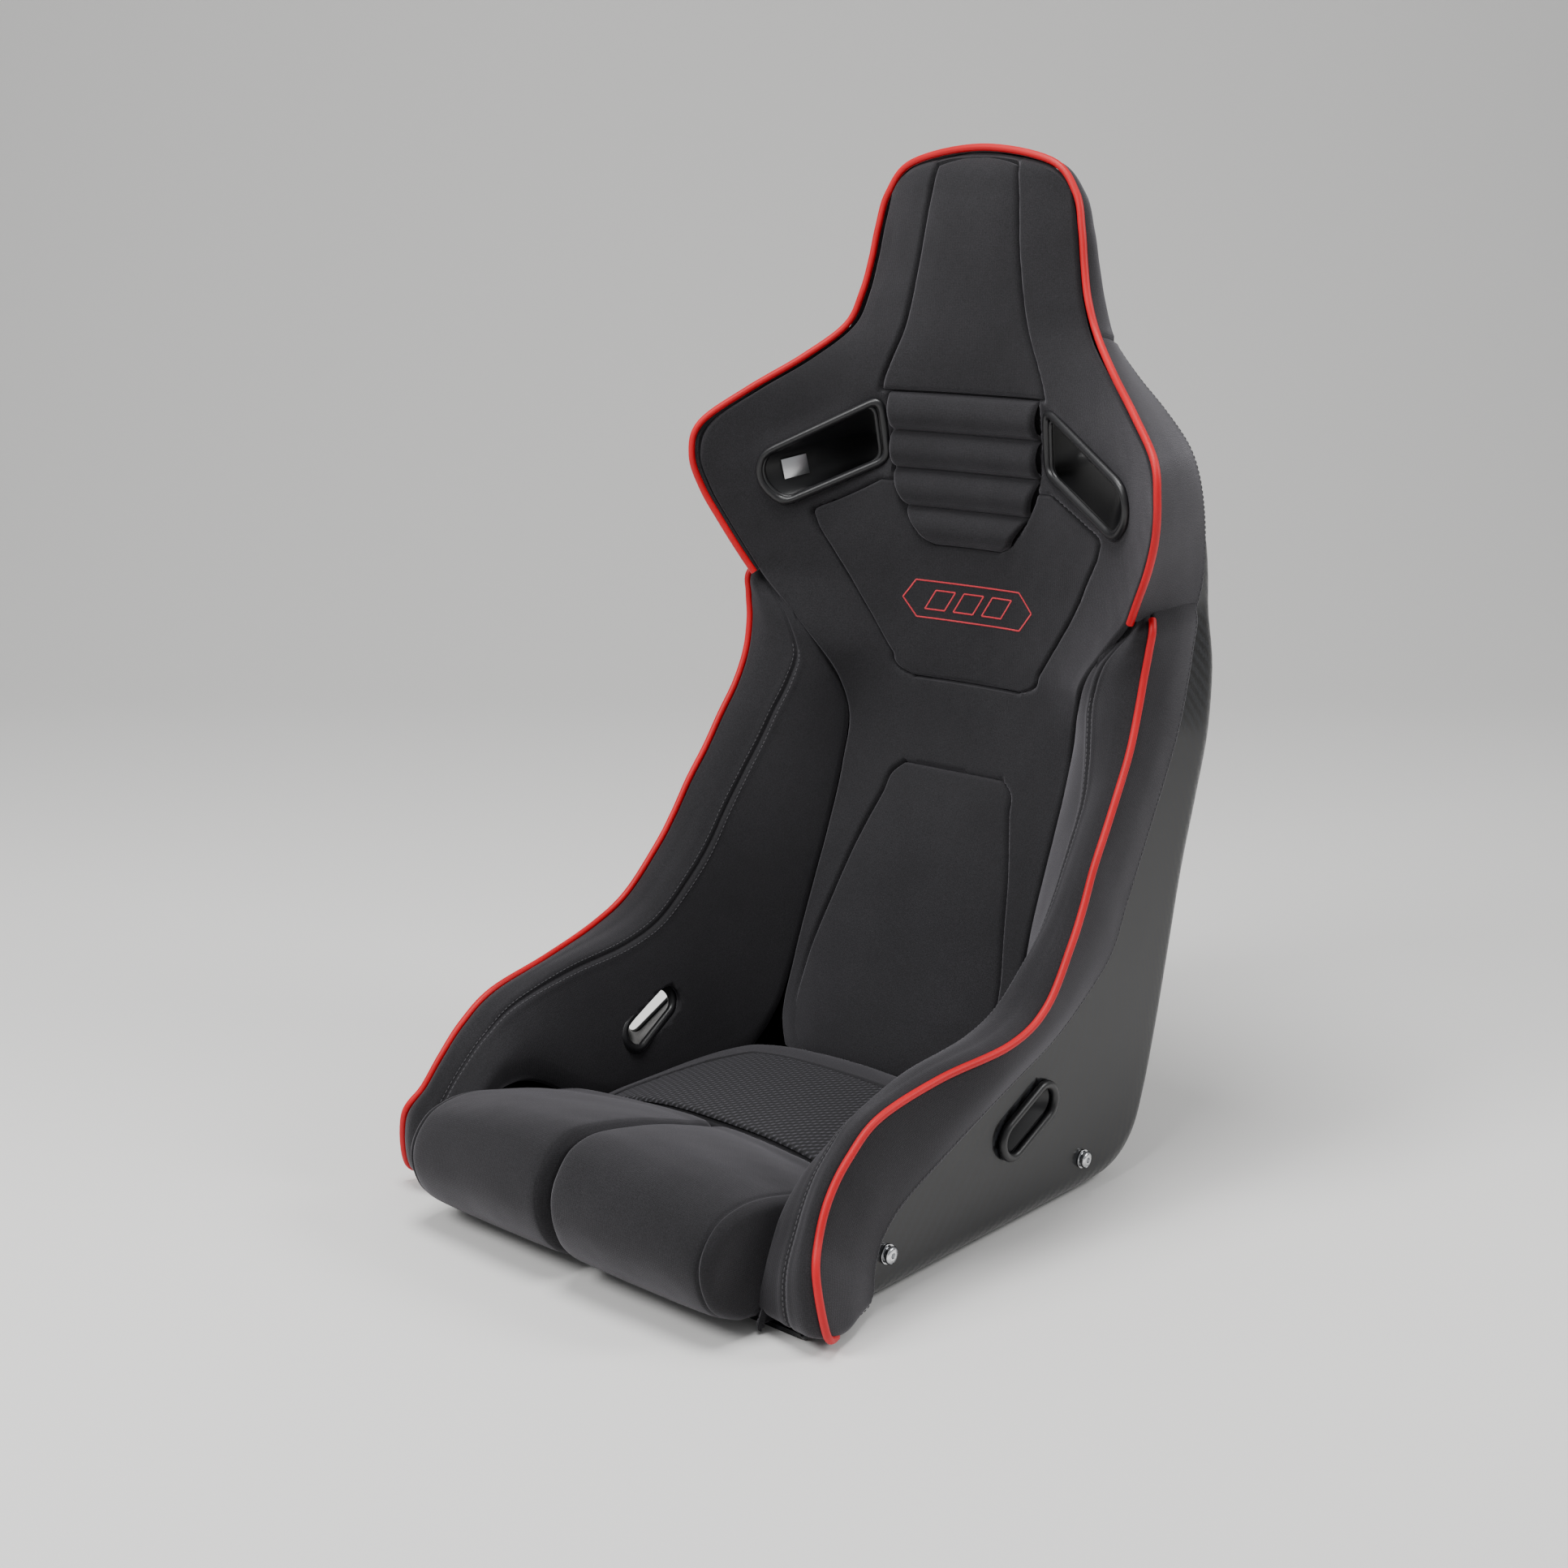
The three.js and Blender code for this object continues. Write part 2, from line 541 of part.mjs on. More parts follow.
function backPad() {
  const heights = [18, 50, 90, 130, 180, 230, 290, 350, 403, 440, 475, 500, 520, 543, 564, 597, 630,
    664, 697, 714, 731, 748, 764, 780, 796, 829, 860, 892, 925, 948, 956];
  const columns = [0, 0.25, 0.48, 0.66, 0.8, 0.91, 1];
  const loops = heights.map((z) => {
    const [half, edge] = lookUp(BACK_EDGE, z);
    const [rimY, , , , shellHalf] = shellAtHeight(z);
    const front = columns.map((t) => point(half * t, backFront(half * t, z), z));
    const inside = Math.min(half - 14, shellHalf - SHELL_WALL - 4);
    const roof = z > HEAD_CROWN ? 3 : 12;
    const foam = z > HEAD_CROWN ? edge + 8 : Math.max(shellInside(z), edge + 16);
    const overRim = half > shellHalf - 8 ? Math.min(edge + roof, rimY - 8) : edge + roof;
    const corner = Math.min(18, inside * 0.3);
    const rear = [
      point(half - 10, overRim, z),
      point(inside, Math.min(overRim + 3, foam - 1), z),
      point(inside, Math.max(foam - corner, overRim + 4), z),
      point(inside - corner, foam, z),
      point(inside * 0.4, foam + 1, z),
    ];
    const halfLoop = [...front, ...rear];
    const mirror = halfLoop.slice(1).reverse().map((p) => point(-p.x, p.y, p.z));
    return [...halfLoop, ...mirror];
  });
  const guide = guideTool();
  return cut(loft(loops), guide, mirrored(guide), padTool(HEAD_PAD), padTool(CHANNEL_PAD),
    padTool(UPPER_PANEL), padTool(LUMBAR_PAD));
}

function shellAtHeight(z) {
  const rows = shellRows.slice(9).map((row) => [row[1], ...row]);
  return lookUp(rows, Math.max(z, rows[0][0]));
}

// A pad between rows of half-widths, with its front and back given as offsets from the back's face.
function padBetween(rows, frontOf, backOf, grow = 0) {
  const columns = [-1, -0.85, -0.5, 0, 0.5, 0.85, 1];
  const low = rows[0][0];
  const high = rows[rows.length - 1][0];
  const steps = Math.max(8, Math.round((high - low) / 24));
  const loops = Array.from({ length: steps + 1 }, (_, i) => {
    const station = low + ((high - low) * i) / steps;
    const z = station + grow * ((i === steps) - (i === 0));
    const [half] = lookUp(rows, station);
    const xs = columns.map((t) => t * (half + grow));
    const front = xs.map((x, j) => point(x, backFront(x, z) + frontOf(columns[j], i / steps), z));
    const rear = xs.slice().reverse().map((x) => point(x, backFront(x, z) + backOf, z));
    return [...front, ...rear];
  });
  return loft(loops);
}
const crowned = (u, v) => 1 - PAD_PROUD * (1 - u ** 4) * Math.sqrt(Math.max(0, 1 - (2 * v - 1) ** 4));
const pad = (rows) => padBetween(rows, crowned, PAD_DEPTH);
const padTool = (rows) => padBetween(rows, () => -30, PAD_DEPTH + FIT, SEAM_GAP);

// ---------------------------------------------------------------- belt guides

function guideTool() {
  const front = harnessOutline(HARNESS_FRONT, () => 90, HARNESS_RIM_RADIUS + FIT);
  const mouth = harnessOutline(HARNESS_FRONT, rimPlane, HARNESS_RIM_RADIUS + FIT);
  const throat = harnessOutline(HARNESS_FRONT, (x, z) => rimPlane(x, z) + 6, HARNESS_RIM_RADIUS + FIT);
  const exit = harnessOutline(HARNESS_REAR, () => 330, 3.6);
  return loft([front, mouth, throat, exit]);
}

function harnessGuide() {
  const rim = bead(harnessOutline(HARNESS_FRONT, rimPlane), HARNESS_RIM_RADIUS);
  const outerMouth = harnessOutline(HARNESS_FRONT, rimPlane, GUIDE_WALL / 2);
  const outerExit = harnessOutline(HARNESS_REAR, () => HARNESS_EXIT, GUIDE_WALL / 2);
  const innerMouth = harnessOutline(HARNESS_FRONT, rimPlane, -GUIDE_WALL / 2);
  const innerExit = harnessOutline(HARNESS_REAR, () => HARNESS_EXIT, -GUIDE_WALL / 2);
  const duct = loft([outerMouth, outerExit, innerExit, innerMouth], true);
  return join(duct, rim);
}

function harnessRearBezel() {
  const outline = harnessOutline(HARNESS_REAR, (x, z) => rearFace(x, z) + 3.6, 4);
  return bead(outline, 3.2);
}

// Outside of the shell's back at a place.
function rearFace(x, z) {
  const keel = SHELL.slice(8).map(({ keel: [y, keelZ], half = SHELL_HALF_WIDTH }) => [keelZ, y, half]);
  const [y, half] = lookUp(keel, z);
  const t = Math.abs(x) / (half - SHELL_CORNER);
  return y + BACK_BULGE * (1 - t * t);
}

function lapGuide() {
  const rim = bead(lapOutline(LAP_INNER.clone().addScaledVector(lapWay, -0.1), 0, WALL_TILT), 3.4);
  const outer = (f) => lapOutline(LAP_INNER.clone().addScaledVector(lapWay, f), 1.2, WALL_TILT * (1 - f));
  const inner = (f) => lapOutline(LAP_INNER.clone().addScaledVector(lapWay, f), -1.2, WALL_TILT * (1 - f));
  const duct = loft([outer(-0.09), outer(0.97), inner(0.97), inner(-0.09)], true);
  return join(duct, rim);
}

function lapOuterBezel() {
  return bead(lapOutline(LAP_OUTER.clone().add(point(3.6, 0, 0)), 2, 0), 3.2);
}

// A blank nameplate on the sloping outer wall of the right-hand guide.
function tagPlate() {
  const rim = point(-223, rimPlane(223, 645), 645);
  const exit = point(-157.5, HARNESS_EXIT, 672);
  const along = exit.clone().sub(rim).normalize();
  const up = point(0, 0, 1).addScaledVector(along, -along.z).normalize();
  const plate = new THREE.BoxGeometry(28, 21, 1);
  plate.applyMatrix4(new THREE.Matrix4().makeBasis(along, up, along.clone().cross(up)));
  const middle = rim.clone().addScaledVector(along, 36).addScaledVector(along.clone().cross(up), 5);
  plate.translate(middle.x, middle.y, middle.z);
  return plate;
}

// ---------------------------------------------------------------- the base cushion

const CUSHION_REAR = 80;
const CUSHION_FRONT = -128;
const cushionHalf = (y) => lookUp([[-182, 190], [-110, 182], [-40, 176], [30, 168], [75, 156], [95, 146]], y)[0]
  - CUSHION_INSET;
const cushionTop = (x, y) => {
  const middle = lookUp([[-140, 84], [-128, 86], [-60, 90], [0, 91], [40, 90], [80, 84], [95, 78]], y)[0];
  return middle - 24 * (Math.abs(x) / 172) ** 2.6;
};
const INSERT_HALF = [[-124, 160], [-60, 150], [0, 132], [34, 112]];

function cushionPiece(halfOf, yFrom, yTo, topOf, bottomOf) {
  const columns = [-1, -0.93, -0.75, -0.5, -0.25, 0, 0.25, 0.5, 0.75, 0.93, 1];
  const steps = 12;
  const loops = Array.from({ length: steps + 1 }, (_, i) => {
    const y = yFrom + ((yTo - yFrom) * i) / steps;
    const half = halfOf(y);
    const top = columns.map((t) => point(half * t, y, topOf(half * t, y)));
    const bottom = columns.slice().reverse().map((t) => point(half * t, y, bottomOf(half * t, y)));
    return [...top, ...bottom];
  });
  return loft(loops);
}

const insertHalf = (y) => lookUp(INSERT_HALF, y)[0];
const insertPad = () => cushionPiece(insertHalf, -124, 34, cushionTop, (x, y) => cushionTop(x, y) - 6);
const insertTool = () => cushionPiece((y) => insertHalf(y) + SEAM_GAP, -124 - SEAM_GAP, 34 + SEAM_GAP,
  (x, y) => cushionTop(x, y) + 20, (x, y) => cushionTop(x, y) - 6 - FIT);

const cushionBase = () => cut(
  cushionPiece(cushionHalf, CUSHION_FRONT, CUSHION_REAR, cushionTop, () => CUSHION_BOTTOM),
  insertTool(),
);

// The thigh roll's outline from its rear crease over the crown and down its nose: [y, z].
const ROLL_OUTLINE = [[-130, 82], [-160, 95], [-196, 108], [-236, 120], [-272, 129], [-304, 132],
  [-330, 125], [-347, 107], [-355, 84], [-352, 58], [-340, 34], [-318, 16], [-286, 6.5],
  [-210, CUSHION_BOTTOM], [-130, CUSHION_BOTTOM]];
const ROLL_MIDDLE = { y: -250, z: 62 };
const ROLL_FROM = 3;
const ROLL_TO = 187;

function thighRoll() {
  // scale of the outline about its middle, and drop of the crown, along the roll
  const stations = [[ROLL_FROM, 0.86], [9, 0.96], [20, 1], [70, 1.0], [125, 0.985], [165, 0.95],
    [180, 0.9], [ROLL_TO, 0.8]];
  const loops = stations.map(([x, scale]) => ROLL_OUTLINE.map(([y, z]) => {
    const isTop = z > CUSHION_BOTTOM + 2;
    const droop = 1 - 0.12 * (x / ROLL_TO) ** 2;
    const lowered = isTop ? z * droop : z;
    return point(x, ROLL_MIDDLE.y + (y - ROLL_MIDDLE.y) * scale,
      isTop ? ROLL_MIDDLE.z + (lowered - ROLL_MIDDLE.z) * scale : z);
  }));
  return loft(loops);
}

const tape = (y) => {
  const strip = new THREE.BoxGeometry(240, 25, 2.2);
  strip.translate(0, y, SHELL_WALL + 1.7);
  return strip;
};

// ---------------------------------------------------------------- side mounts

const PLATE_FACE = SHELL_HALF_WIDTH - SHELL_WALL - FIT;

function mountPlate() {
  const plate = new THREE.BoxGeometry(4, BOLT_PITCH + 50, 25);
  plate.translate(PLATE_FACE - 2, (BOLT_FRONT.y + BOLT_REAR.y) / 2, (BOLT_FRONT.z + BOLT_REAR.z) / 2);
  const nuts = [BOLT_FRONT, BOLT_REAR].map((place) => {
    const nut = new THREE.CylinderGeometry(8, 8, 12, 6);
    nut.rotateZ(Math.PI / 2);
    nut.translate(PLATE_FACE - 4 - 5, place.y, place.z);
    return nut;
  });
  return cut(join(plate, ...nuts), boltHole(BOLT_FRONT), boltHole(BOLT_REAR));
}

const WASHER_FACE = SHELL_HALF_WIDTH + FIT;
function washer(place) {
  const profile = [[4.6, 0], [9, 0], [9, 1.2], [8.6, 1.6], [4.6, 1.6]];
  const disc = new THREE.LatheGeometry([...profile, profile[0]].map(([r, h]) => new THREE.Vector2(r, h)), 16);
  disc.rotateZ(-Math.PI / 2);
  disc.translate(WASHER_FACE, place.y, place.z);
  return disc;
}

// A button-head socket screw, its shank reaching into the welded nut.
function bolt(place) {
  const profile = [[0, -20], [4, -20], [4, 0], [7.6, 0], [7.6, 1.2], [6.8, 3], [5, 4.4], [3.2, 4.8], [0, 4.8]];
  const screw = new THREE.LatheGeometry(profile.map(([r, h]) => new THREE.Vector2(r, h)), 16);
  const socket = new THREE.CylinderGeometry(2.9, 2.9, 6, 6);
  socket.translate(0, 2.4 + 3, 0);
  const drilled = cut(screw, socket);
  drilled.rotateZ(-Math.PI / 2);
  drilled.translate(WASHER_FACE + 1.6 + FIT, place.y, place.z);
  return drilled;
}

// ---------------------------------------------------------------- assembly

const seat = new THREE.Group();
const structure = new THREE.Group();
const baseCushion = new THREE.Group();
seat.add(structure, baseCushion);
seat.position.y = Y_SHIFT;

function place(group, name, geometry, material) {
  const mesh = new THREE.Mesh(geometry, material);
  mesh.name = name;
  group.add(mesh);
}

// A long hollow piece in stretches of height, each a node simple enough to collide by its own shape.
function stretches(group, name, geometry, material, heights) {
  for (const [part, [low, high]] of Object.entries(heights)) {
    const slab = new THREE.BoxGeometry(800, 1000, high - low - FIT);
    slab.translate(0, 0, (low + high) / 2);
    place(group, `${name}_${part}`, unsolid(solid(geometry).intersect(solid(slab))), material);
  }
}

// One piece for each side; the sitter's left is +X.
function pair(group, name, geometry, material) {
  place(group, `${name}_left`, geometry, material);
  place(group, `${name}_right`, mirrored(mergeVertices(geometry, 1e-3)), material);
}

stretches(structure, 'shell', shell(), COMPOSITE, { seat: [-5, 205], waist: [205, 560],
  shoulders: [560, 742], head: [742, 965] });
stretches(structure, 'back_pad', backPad(), CLOTH, { lower: [10, 420], waist: [420, 598],
  shoulders: [598, 742], head: [742, 965] });
place(structure, 'head_pad', pad(HEAD_PAD), CLOTH);
place(structure, 'channel_pad', pad(CHANNEL_PAD), CLOTH);
place(structure, 'upper_back_panel', cut(pad(UPPER_PANEL), padTool(CHANNEL_PAD)), CLOTH);
place(structure, 'lumbar_pad', pad(LUMBAR_PAD), CLOTH);
pair(structure, 'side_bolster', cut(bolsterPad(), lapTunnel(7.5, -0.6, 1.2)), CLOTH);
pair(structure, 'bolster_gusset', bolsterGusset(), CLOTH);
pair(structure, 'shoulder_gusset', wingGusset(), CLOTH);
place(structure, 'head_gusset', headGusset(), CLOTH);
place(structure, 'piping_upper', upperPiping, PIPING);
pair(structure, 'piping_lower', lowerPiping, PIPING);
pair(structure, 'harness_guide', harnessGuide(), PLASTIC);
pair(structure, 'harness_bezel_rear', harnessRearBezel(), PLASTIC);
pair(structure, 'lap_belt_guide', lapGuide(), PLASTIC);
pair(structure, 'lap_belt_bezel_outer', lapOuterBezel(), PLASTIC);
place(structure, 'tag_plate', tagPlate(), SILVER);
place(structure, 'cushion_tape_front', tape(-100), TAPE);
place(structure, 'cushion_tape_rear', tape(30), TAPE);
pair(structure, 'mount_plate', mountPlate(), STEEL);
for (const [end, spot] of [['front', BOLT_FRONT], ['rear', BOLT_REAR]]) {
  pair(structure, `mount_washer_${end}`, washer(spot), CHROME);
  pair(structure, `mount_bolt_${end}`, bolt(spot), CHROME);
}
place(baseCushion, 'cushion_base', cushionBase(), CLOTH);
place(baseCushion, 'cushion_insert', insertPad(), WEAVE);
pair(baseCushion, 'thigh_roll', thighRoll(), CLOTH);

export default seat;
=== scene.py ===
import math

import bpy
import numpy as np
from mathutils import Matrix, Vector


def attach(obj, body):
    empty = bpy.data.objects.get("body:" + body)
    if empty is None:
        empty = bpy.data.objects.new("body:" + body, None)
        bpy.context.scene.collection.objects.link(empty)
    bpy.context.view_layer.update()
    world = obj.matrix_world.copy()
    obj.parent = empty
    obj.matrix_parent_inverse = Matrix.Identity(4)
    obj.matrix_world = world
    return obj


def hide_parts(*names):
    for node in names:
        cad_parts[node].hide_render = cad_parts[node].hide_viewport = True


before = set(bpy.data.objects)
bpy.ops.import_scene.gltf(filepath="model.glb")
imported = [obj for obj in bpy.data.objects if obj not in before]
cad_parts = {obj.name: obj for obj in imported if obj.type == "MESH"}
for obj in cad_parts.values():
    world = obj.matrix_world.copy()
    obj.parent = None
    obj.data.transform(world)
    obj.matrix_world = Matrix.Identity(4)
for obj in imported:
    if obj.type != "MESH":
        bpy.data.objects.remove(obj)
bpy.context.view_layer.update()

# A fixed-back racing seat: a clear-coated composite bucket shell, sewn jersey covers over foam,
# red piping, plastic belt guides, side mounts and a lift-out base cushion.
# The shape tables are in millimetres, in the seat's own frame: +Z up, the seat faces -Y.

MM = 0.001
SEAT_OFFSET = (0.0, 6.1, 0.0)   # the tables' frame in the row frame
SHELL_HALF_WIDTH = 239
SHELL_WALL = 4.5
SHELL_CORNER = 30
BACK_BULGE = 9
PIPING_RADIUS = 3.5
COVER_DEPTH = 7                 # foam that is modelled behind a cover's face
BOLTS = {"front": (-177, 46), "rear": (113, 41)}
HEM_X = 242.5                   # the side covers' hem, just outside the shell

# ---------------------------------------------------------------- shape tables

# A side bolster from under its nose to the waist: seam beside the cushion and the back,
# shoulder (the stitched line), ridge (the piping), hem on the shell [y, z].
BOLSTER = [
    (196, -262, 9, 227, -264, 8, 257, -262, 9, -237, 4),
    (192, -286, 22, 228, -289, 20, 266, -286, 20, -206, 9),
    (192, -277, 56, 226, -291, 62, 260, -293, 72, -197, 18),
    (192, -262, 88, 221, -271, 98, 249, -277, 99, -196, 30),
    (192, -243, 108, 217, -251, 124, 244, -258, 127, -193, 46),
    (192, -221, 121, 215, -226, 146, 243, -232, 153, -184, 64),
    (190, -182, 116, 213, -190, 168, 243, -193, 176, -160, 84),
    (182, -110, 72, 212, -119, 184, 248, -118, 190, -105, 109),
    (176, -40, 62, 212, -45, 192, 263, -39, 202, -18, 145),
    (168, 30, 66, 212, 6, 208, 265, 11, 224, 60, 176),
    (158, 75, 76, 212, 50, 242, 260, 53, 269, 122, 214),
    (150, 104, 102, 212, 80, 272, 257, 75, 300, 150, 240),
    (146, 128, 152, 211, 104, 306, 254, 94, 332, 168, 276),
    (143, 156, 230, 208, 128, 340, 251, 117, 364, 188, 314),
    (142, 180, 290, 204, 150, 372, 249, 137, 395, 207, 350),
    (143, 202, 350, 198, 165, 402, 246, 158, 427, 226, 386),
    (146, 216, 403, 190, 179, 432, 244, 172, 460, 247, 430),
    (156, 208, 440, 186, 188, 462, 245, 179, 493, 261, 478),
    (173, 197, 477, 198, 186, 497, 248, 181, 518, 268, 512),
    (210, 192, 520, 225, 188, 530, 249, 184, 541, 272, 534),
    (212, 207, 528, 222, 205, 543, 231, 204, 560, 268, 552),
]

# The upper side covers from the waist to the top of the head: ridge, hem.
WING = [
    (232, 172, 543, 240, 273, 543), (244, 164, 564, 243, 277, 565), (262, 153, 597, 243, 279, 593),
    (276, 141, 630, 243, 276, 629), (282, 132, 664, 242, 266, 668), (274, 137, 697, 233, 259, 699),
    (234, 165, 731, 203, 264, 729), (188, 198, 764, 168, 267, 760), (152, 223, 796, 143, 268, 789),
    (136, 229, 829, 131, 266, 825), (128, 233, 860, 123, 266, 859), (122, 236, 892, 116, 266, 891),
    (112, 239, 925, 106, 265, 922), (82, 240, 954, 78, 262, 948), (0, 240, 967, 0, 260, 960),
]
HEAD_JOINT = 8                  # the row where the head's side cover meets the shoulder's

# The shell: rim [y, z], keel [y, z] and half-width.
SHELL = [
    (-275, 18, -275, 0, 239), (-262, 60, -262, 0, 239), (-238, 102, -235, 0, 239),
    (-184, 146, -180, 0, 239), (-112, 162, -105, 0, 239), (-35, 174, -25, 0, 239),
    (24, 196, 60, 0, 239), (52, 222, 120, 0, 239), (74, 248, 175, 4, 239), (90, 270, 208, 25, 239),
    (101, 286, 226, 62, 239), (118, 316, 245, 125, 239), (140, 348, 264, 200, 239),
    (161, 378, 284, 280, 239), (181, 410, 306, 350, 239), (197, 446, 324, 412, 239),
    (205, 490, 335, 480, 235), (210, 540, 330, 535, 231), (204, 570, 320, 572, 235),
    (197, 600, 308, 604, 239), (192, 640, 296, 642, 239), (190, 668, 290, 672, 237),
    (195, 695, 287, 700, 227), (215, 724, 286, 728, 197), (234, 756, 287, 760, 162),
    (246, 787, 288, 790, 138), (250, 822, 288, 826, 126), (251, 858, 288, 860, 118),
    (251, 890, 287, 886, 111), (252, 918, 285, 906, 101), (252, 936, 281, 920, 84),
    (252, 946, 275, 934, 62), (252, 951, 268, 944, 34), (252, 952, 262, 949, 12),
]

# The back's front face: middle line [z, y], and edge [z, half-width, y].
BACK_MIDDLE = [(10, 92), (50, 88), (84, 86), (130, 106), (168, 127), (250, 163), (332, 200),
               (361, 213), (403, 226), (449, 235), (500, 238), (540, 236), (583, 231), (657, 228),
               (729, 221), (794, 216), (861, 219), (923, 226), (950, 232), (962, 240)]
BACK_EDGE = [(10, 132, 114), (50, 136, 112), (94, 142, 112), (152, 143, 130), (230, 140, 157),
             (290, 139, 181), (350, 140, 203), (403, 143, 216), (440, 152, 208), (475, 168, 191),
             (520, 206, 180), (543, 227, 174), (564, 239, 167), (597, 257, 156), (630, 271, 144),
             (664, 277, 135), (697, 266, 141), (731, 225, 168), (764, 180, 200), (796, 145, 223),
             (829, 130, 229), (860, 123, 233), (892, 117, 236), (925, 109.5, 239), (948, 106, 240)]

# Pads set into the back: [z, half-width].
HEAD_PAD = [(735, 99), (745, 97), (760, 91), (794, 76), (861, 61), (920, 53), (952, 48)]
CHANNEL_PAD = [(583, 40), (587, 49), (600, 62), (624, 78), (657, 89), (693, 90), (733, 91)]
UPPER_PANEL = [(447, 66), (452, 80), (470, 93), (500, 113), (534, 136), (570, 158), (600, 174),
               (610, 175), (622, 150), (634, 125), (645, 104)]
LUMBAR_PAD = [(70, 122), (170, 121), (230, 108), (274, 98), (330, 80), (352, 73), (361, 62)]

# Shoulder belt opening: corners of its front rim and of its way out through the shell [x, z].
HARNESS_FRONT = [(101, 726), (98, 666), (203, 616), (221, 632), (225, 650), (218, 667)]
HARNESS_REAR = [(100, 712), (99, 676), (146, 652), (157, 660), (158, 676), (148, 690)]
HARNESS_EXIT = 281

# Lap belt opening: middle of its mouth on the bolster's wall and on the shell's side.
LAP_INNER = np.array((196.0, -27.0, 118.0))
LAP_OUTER = np.array((239.0, 21.0, 108.0))
LAP_HALF_LENGTH = 40
LAP_HALF_WIDTH = 15
LAP_SLOPE = math.radians(26)
WALL_TILT = 0.28

# Base cushion: half-width [y, half], height of its middle line [y, z], insert's half-width.
CUSHION_HALF = [(-182, 187), (-110, 179), (-40, 173), (30, 165), (75, 153), (95, 143)]
CUSHION_TOP = [(-140, 84), (-128, 86), (-60, 90), (0, 91), (40, 90), (80, 84), (95, 78)]
INSERT_HALF = [(-124, 160), (-60, 150), (0, 132), (34, 112)]
CUSHION_BOTTOM = 8
ROLL_OUTLINE = [(-130, 82), (-160, 95), (-196, 108), (-236, 120), (-272, 129), (-304, 132),
                (-330, 125), (-347, 107), (-355, 84), (-352, 58), (-340, 34), (-318, 16),
                (-286, 6.5), (-210, 8), (-150, 8), (-130, 12), (-124, 40)]
ROLL_MIDDLE = np.array((-250.0, 62.0))

# ---------------------------------------------------------------- curves and rows


def blend_rows(rows, position):
    """Smooth values of a table's columns at fractional rows."""
    rows = np.asarray(rows, float)
    last = len(rows) - 1
    position = np.asarray(position, float)
    index = np.clip(np.floor(position).astype(int), 0, last - 1)
    t = (position - index)[..., None]
    a, b, c, d = (rows[np.clip(index + step, 0, last)] for step in (-1, 0, 1, 2))
    slope_in = (c - a) / 2
    slope_out = (d - b) / 2
    rise = c - b
    return (b + t * slope_in + t ** 2 * (3 * rise - 2 * slope_in - slope_out)
            + t ** 3 * (slope_in + slope_out - 2 * rise))


def look_up(table, keys):
    """Smooth values of a [key, value, ...] table at any keys."""
    rows = np.array(table, float)
    stops, values = rows[:, 0], rows[:, 1:]
    keys = np.clip(np.asarray(keys, float), stops[0], stops[-1])
    slopes = np.gradient(values, stops, axis=0)
    index = np.clip(np.searchsorted(stops, keys, side="right") - 1, 0, len(stops) - 2)
    span = (stops[index + 1] - stops[index])[..., None]
    t = (keys - stops[index])[..., None] / span
    rise = values[index + 1] - values[index]
    slope_in = slopes[index] * span
    slope_out = slopes[index + 1] * span
    return (values[index] + t * slope_in + t ** 2 * (3 * rise - 2 * slope_in - slope_out)
            + t ** 3 * (slope_in + slope_out - 2 * rise))


def gathered(count):
    """Numbers from 0 to 1 that lie closer together at both ends."""
    even = np.linspace(0, 1, count)
    return 0.45 * even + 0.55 * (1 - np.cos(np.pi * even)) / 2


def unit(vectors):
    return vectors / np.maximum(np.linalg.norm(vectors, axis=-1, keepdims=True), 1e-9)


def strip(controls, across):
    """Points of a sheet: rows of control points, each row joined by one smooth curve."""
    controls = np.stack(controls)
    rows = controls.shape[1]
    joined = blend_rows(controls.reshape(len(controls), -1), across)
    return joined.reshape(len(across), rows, 3).transpose(1, 0, 2)


def arc_lengths(points, axis):
    """Length along each row or column of a sheet, from its start."""
    steps = np.linalg.norm(np.diff(points, axis=axis), axis=-1)
    start = np.zeros_like(np.take(steps, [0], axis=axis))
    return np.cumsum(np.concatenate([start, steps], axis=axis), axis=axis)


def unevenness(points, seed, wavelength, height):
    """The slow unevenness of cloth over hand-cut foam."""
    source = np.random.default_rng(seed)
    total = np.zeros(points.shape[:-1])
    waves = 8
    for _ in range(waves):
        direction = unit(source.normal(size=3))
        length = wavelength * source.uniform(0.6, 1.6)
        total += np.sin(points @ direction * 2 * np.pi / length + source.uniform(0, 2 * np.pi))
    return height * total / math.sqrt(waves)


def rolled(distance, radius):
    """How far a cover's face drops where it rolls into a seam."""
    inside = np.clip(radius - distance, 0, radius)
    return radius - np.sqrt(radius ** 2 - inside ** 2)


def crease(distance, depth, width):
    return depth * np.exp(-(distance / width) ** 2)


# ---------------------------------------------------------------- making pieces

def to_frame(points):
    return (np.asarray(points, float) + SEAT_OFFSET) * MM


def only(*objects):
    """Selects these objects alone."""
    bpy.ops.object.select_all(action="DESELECT")
    for obj in objects:
        obj.select_set(True)
    bpy.context.view_layer.objects.active = objects[0]


def named(obj, name):
    obj.name = name
    obj.data.name = name
    return obj


def modified(obj, kind, **settings):
    """Adds a modifier with its settings and applies it."""
    only(obj)
    modifier = obj.modifiers.new(kind.title(), kind)
    for key, value in settings.items():
        setattr(modifier, key, value)
    bpy.ops.object.modifier_apply(modifier=modifier.name)
    return obj


def smoothed(obj, degrees=50):
    only(obj)
    bpy.ops.object.shade_smooth_by_angle(angle=math.radians(degrees))
    return obj


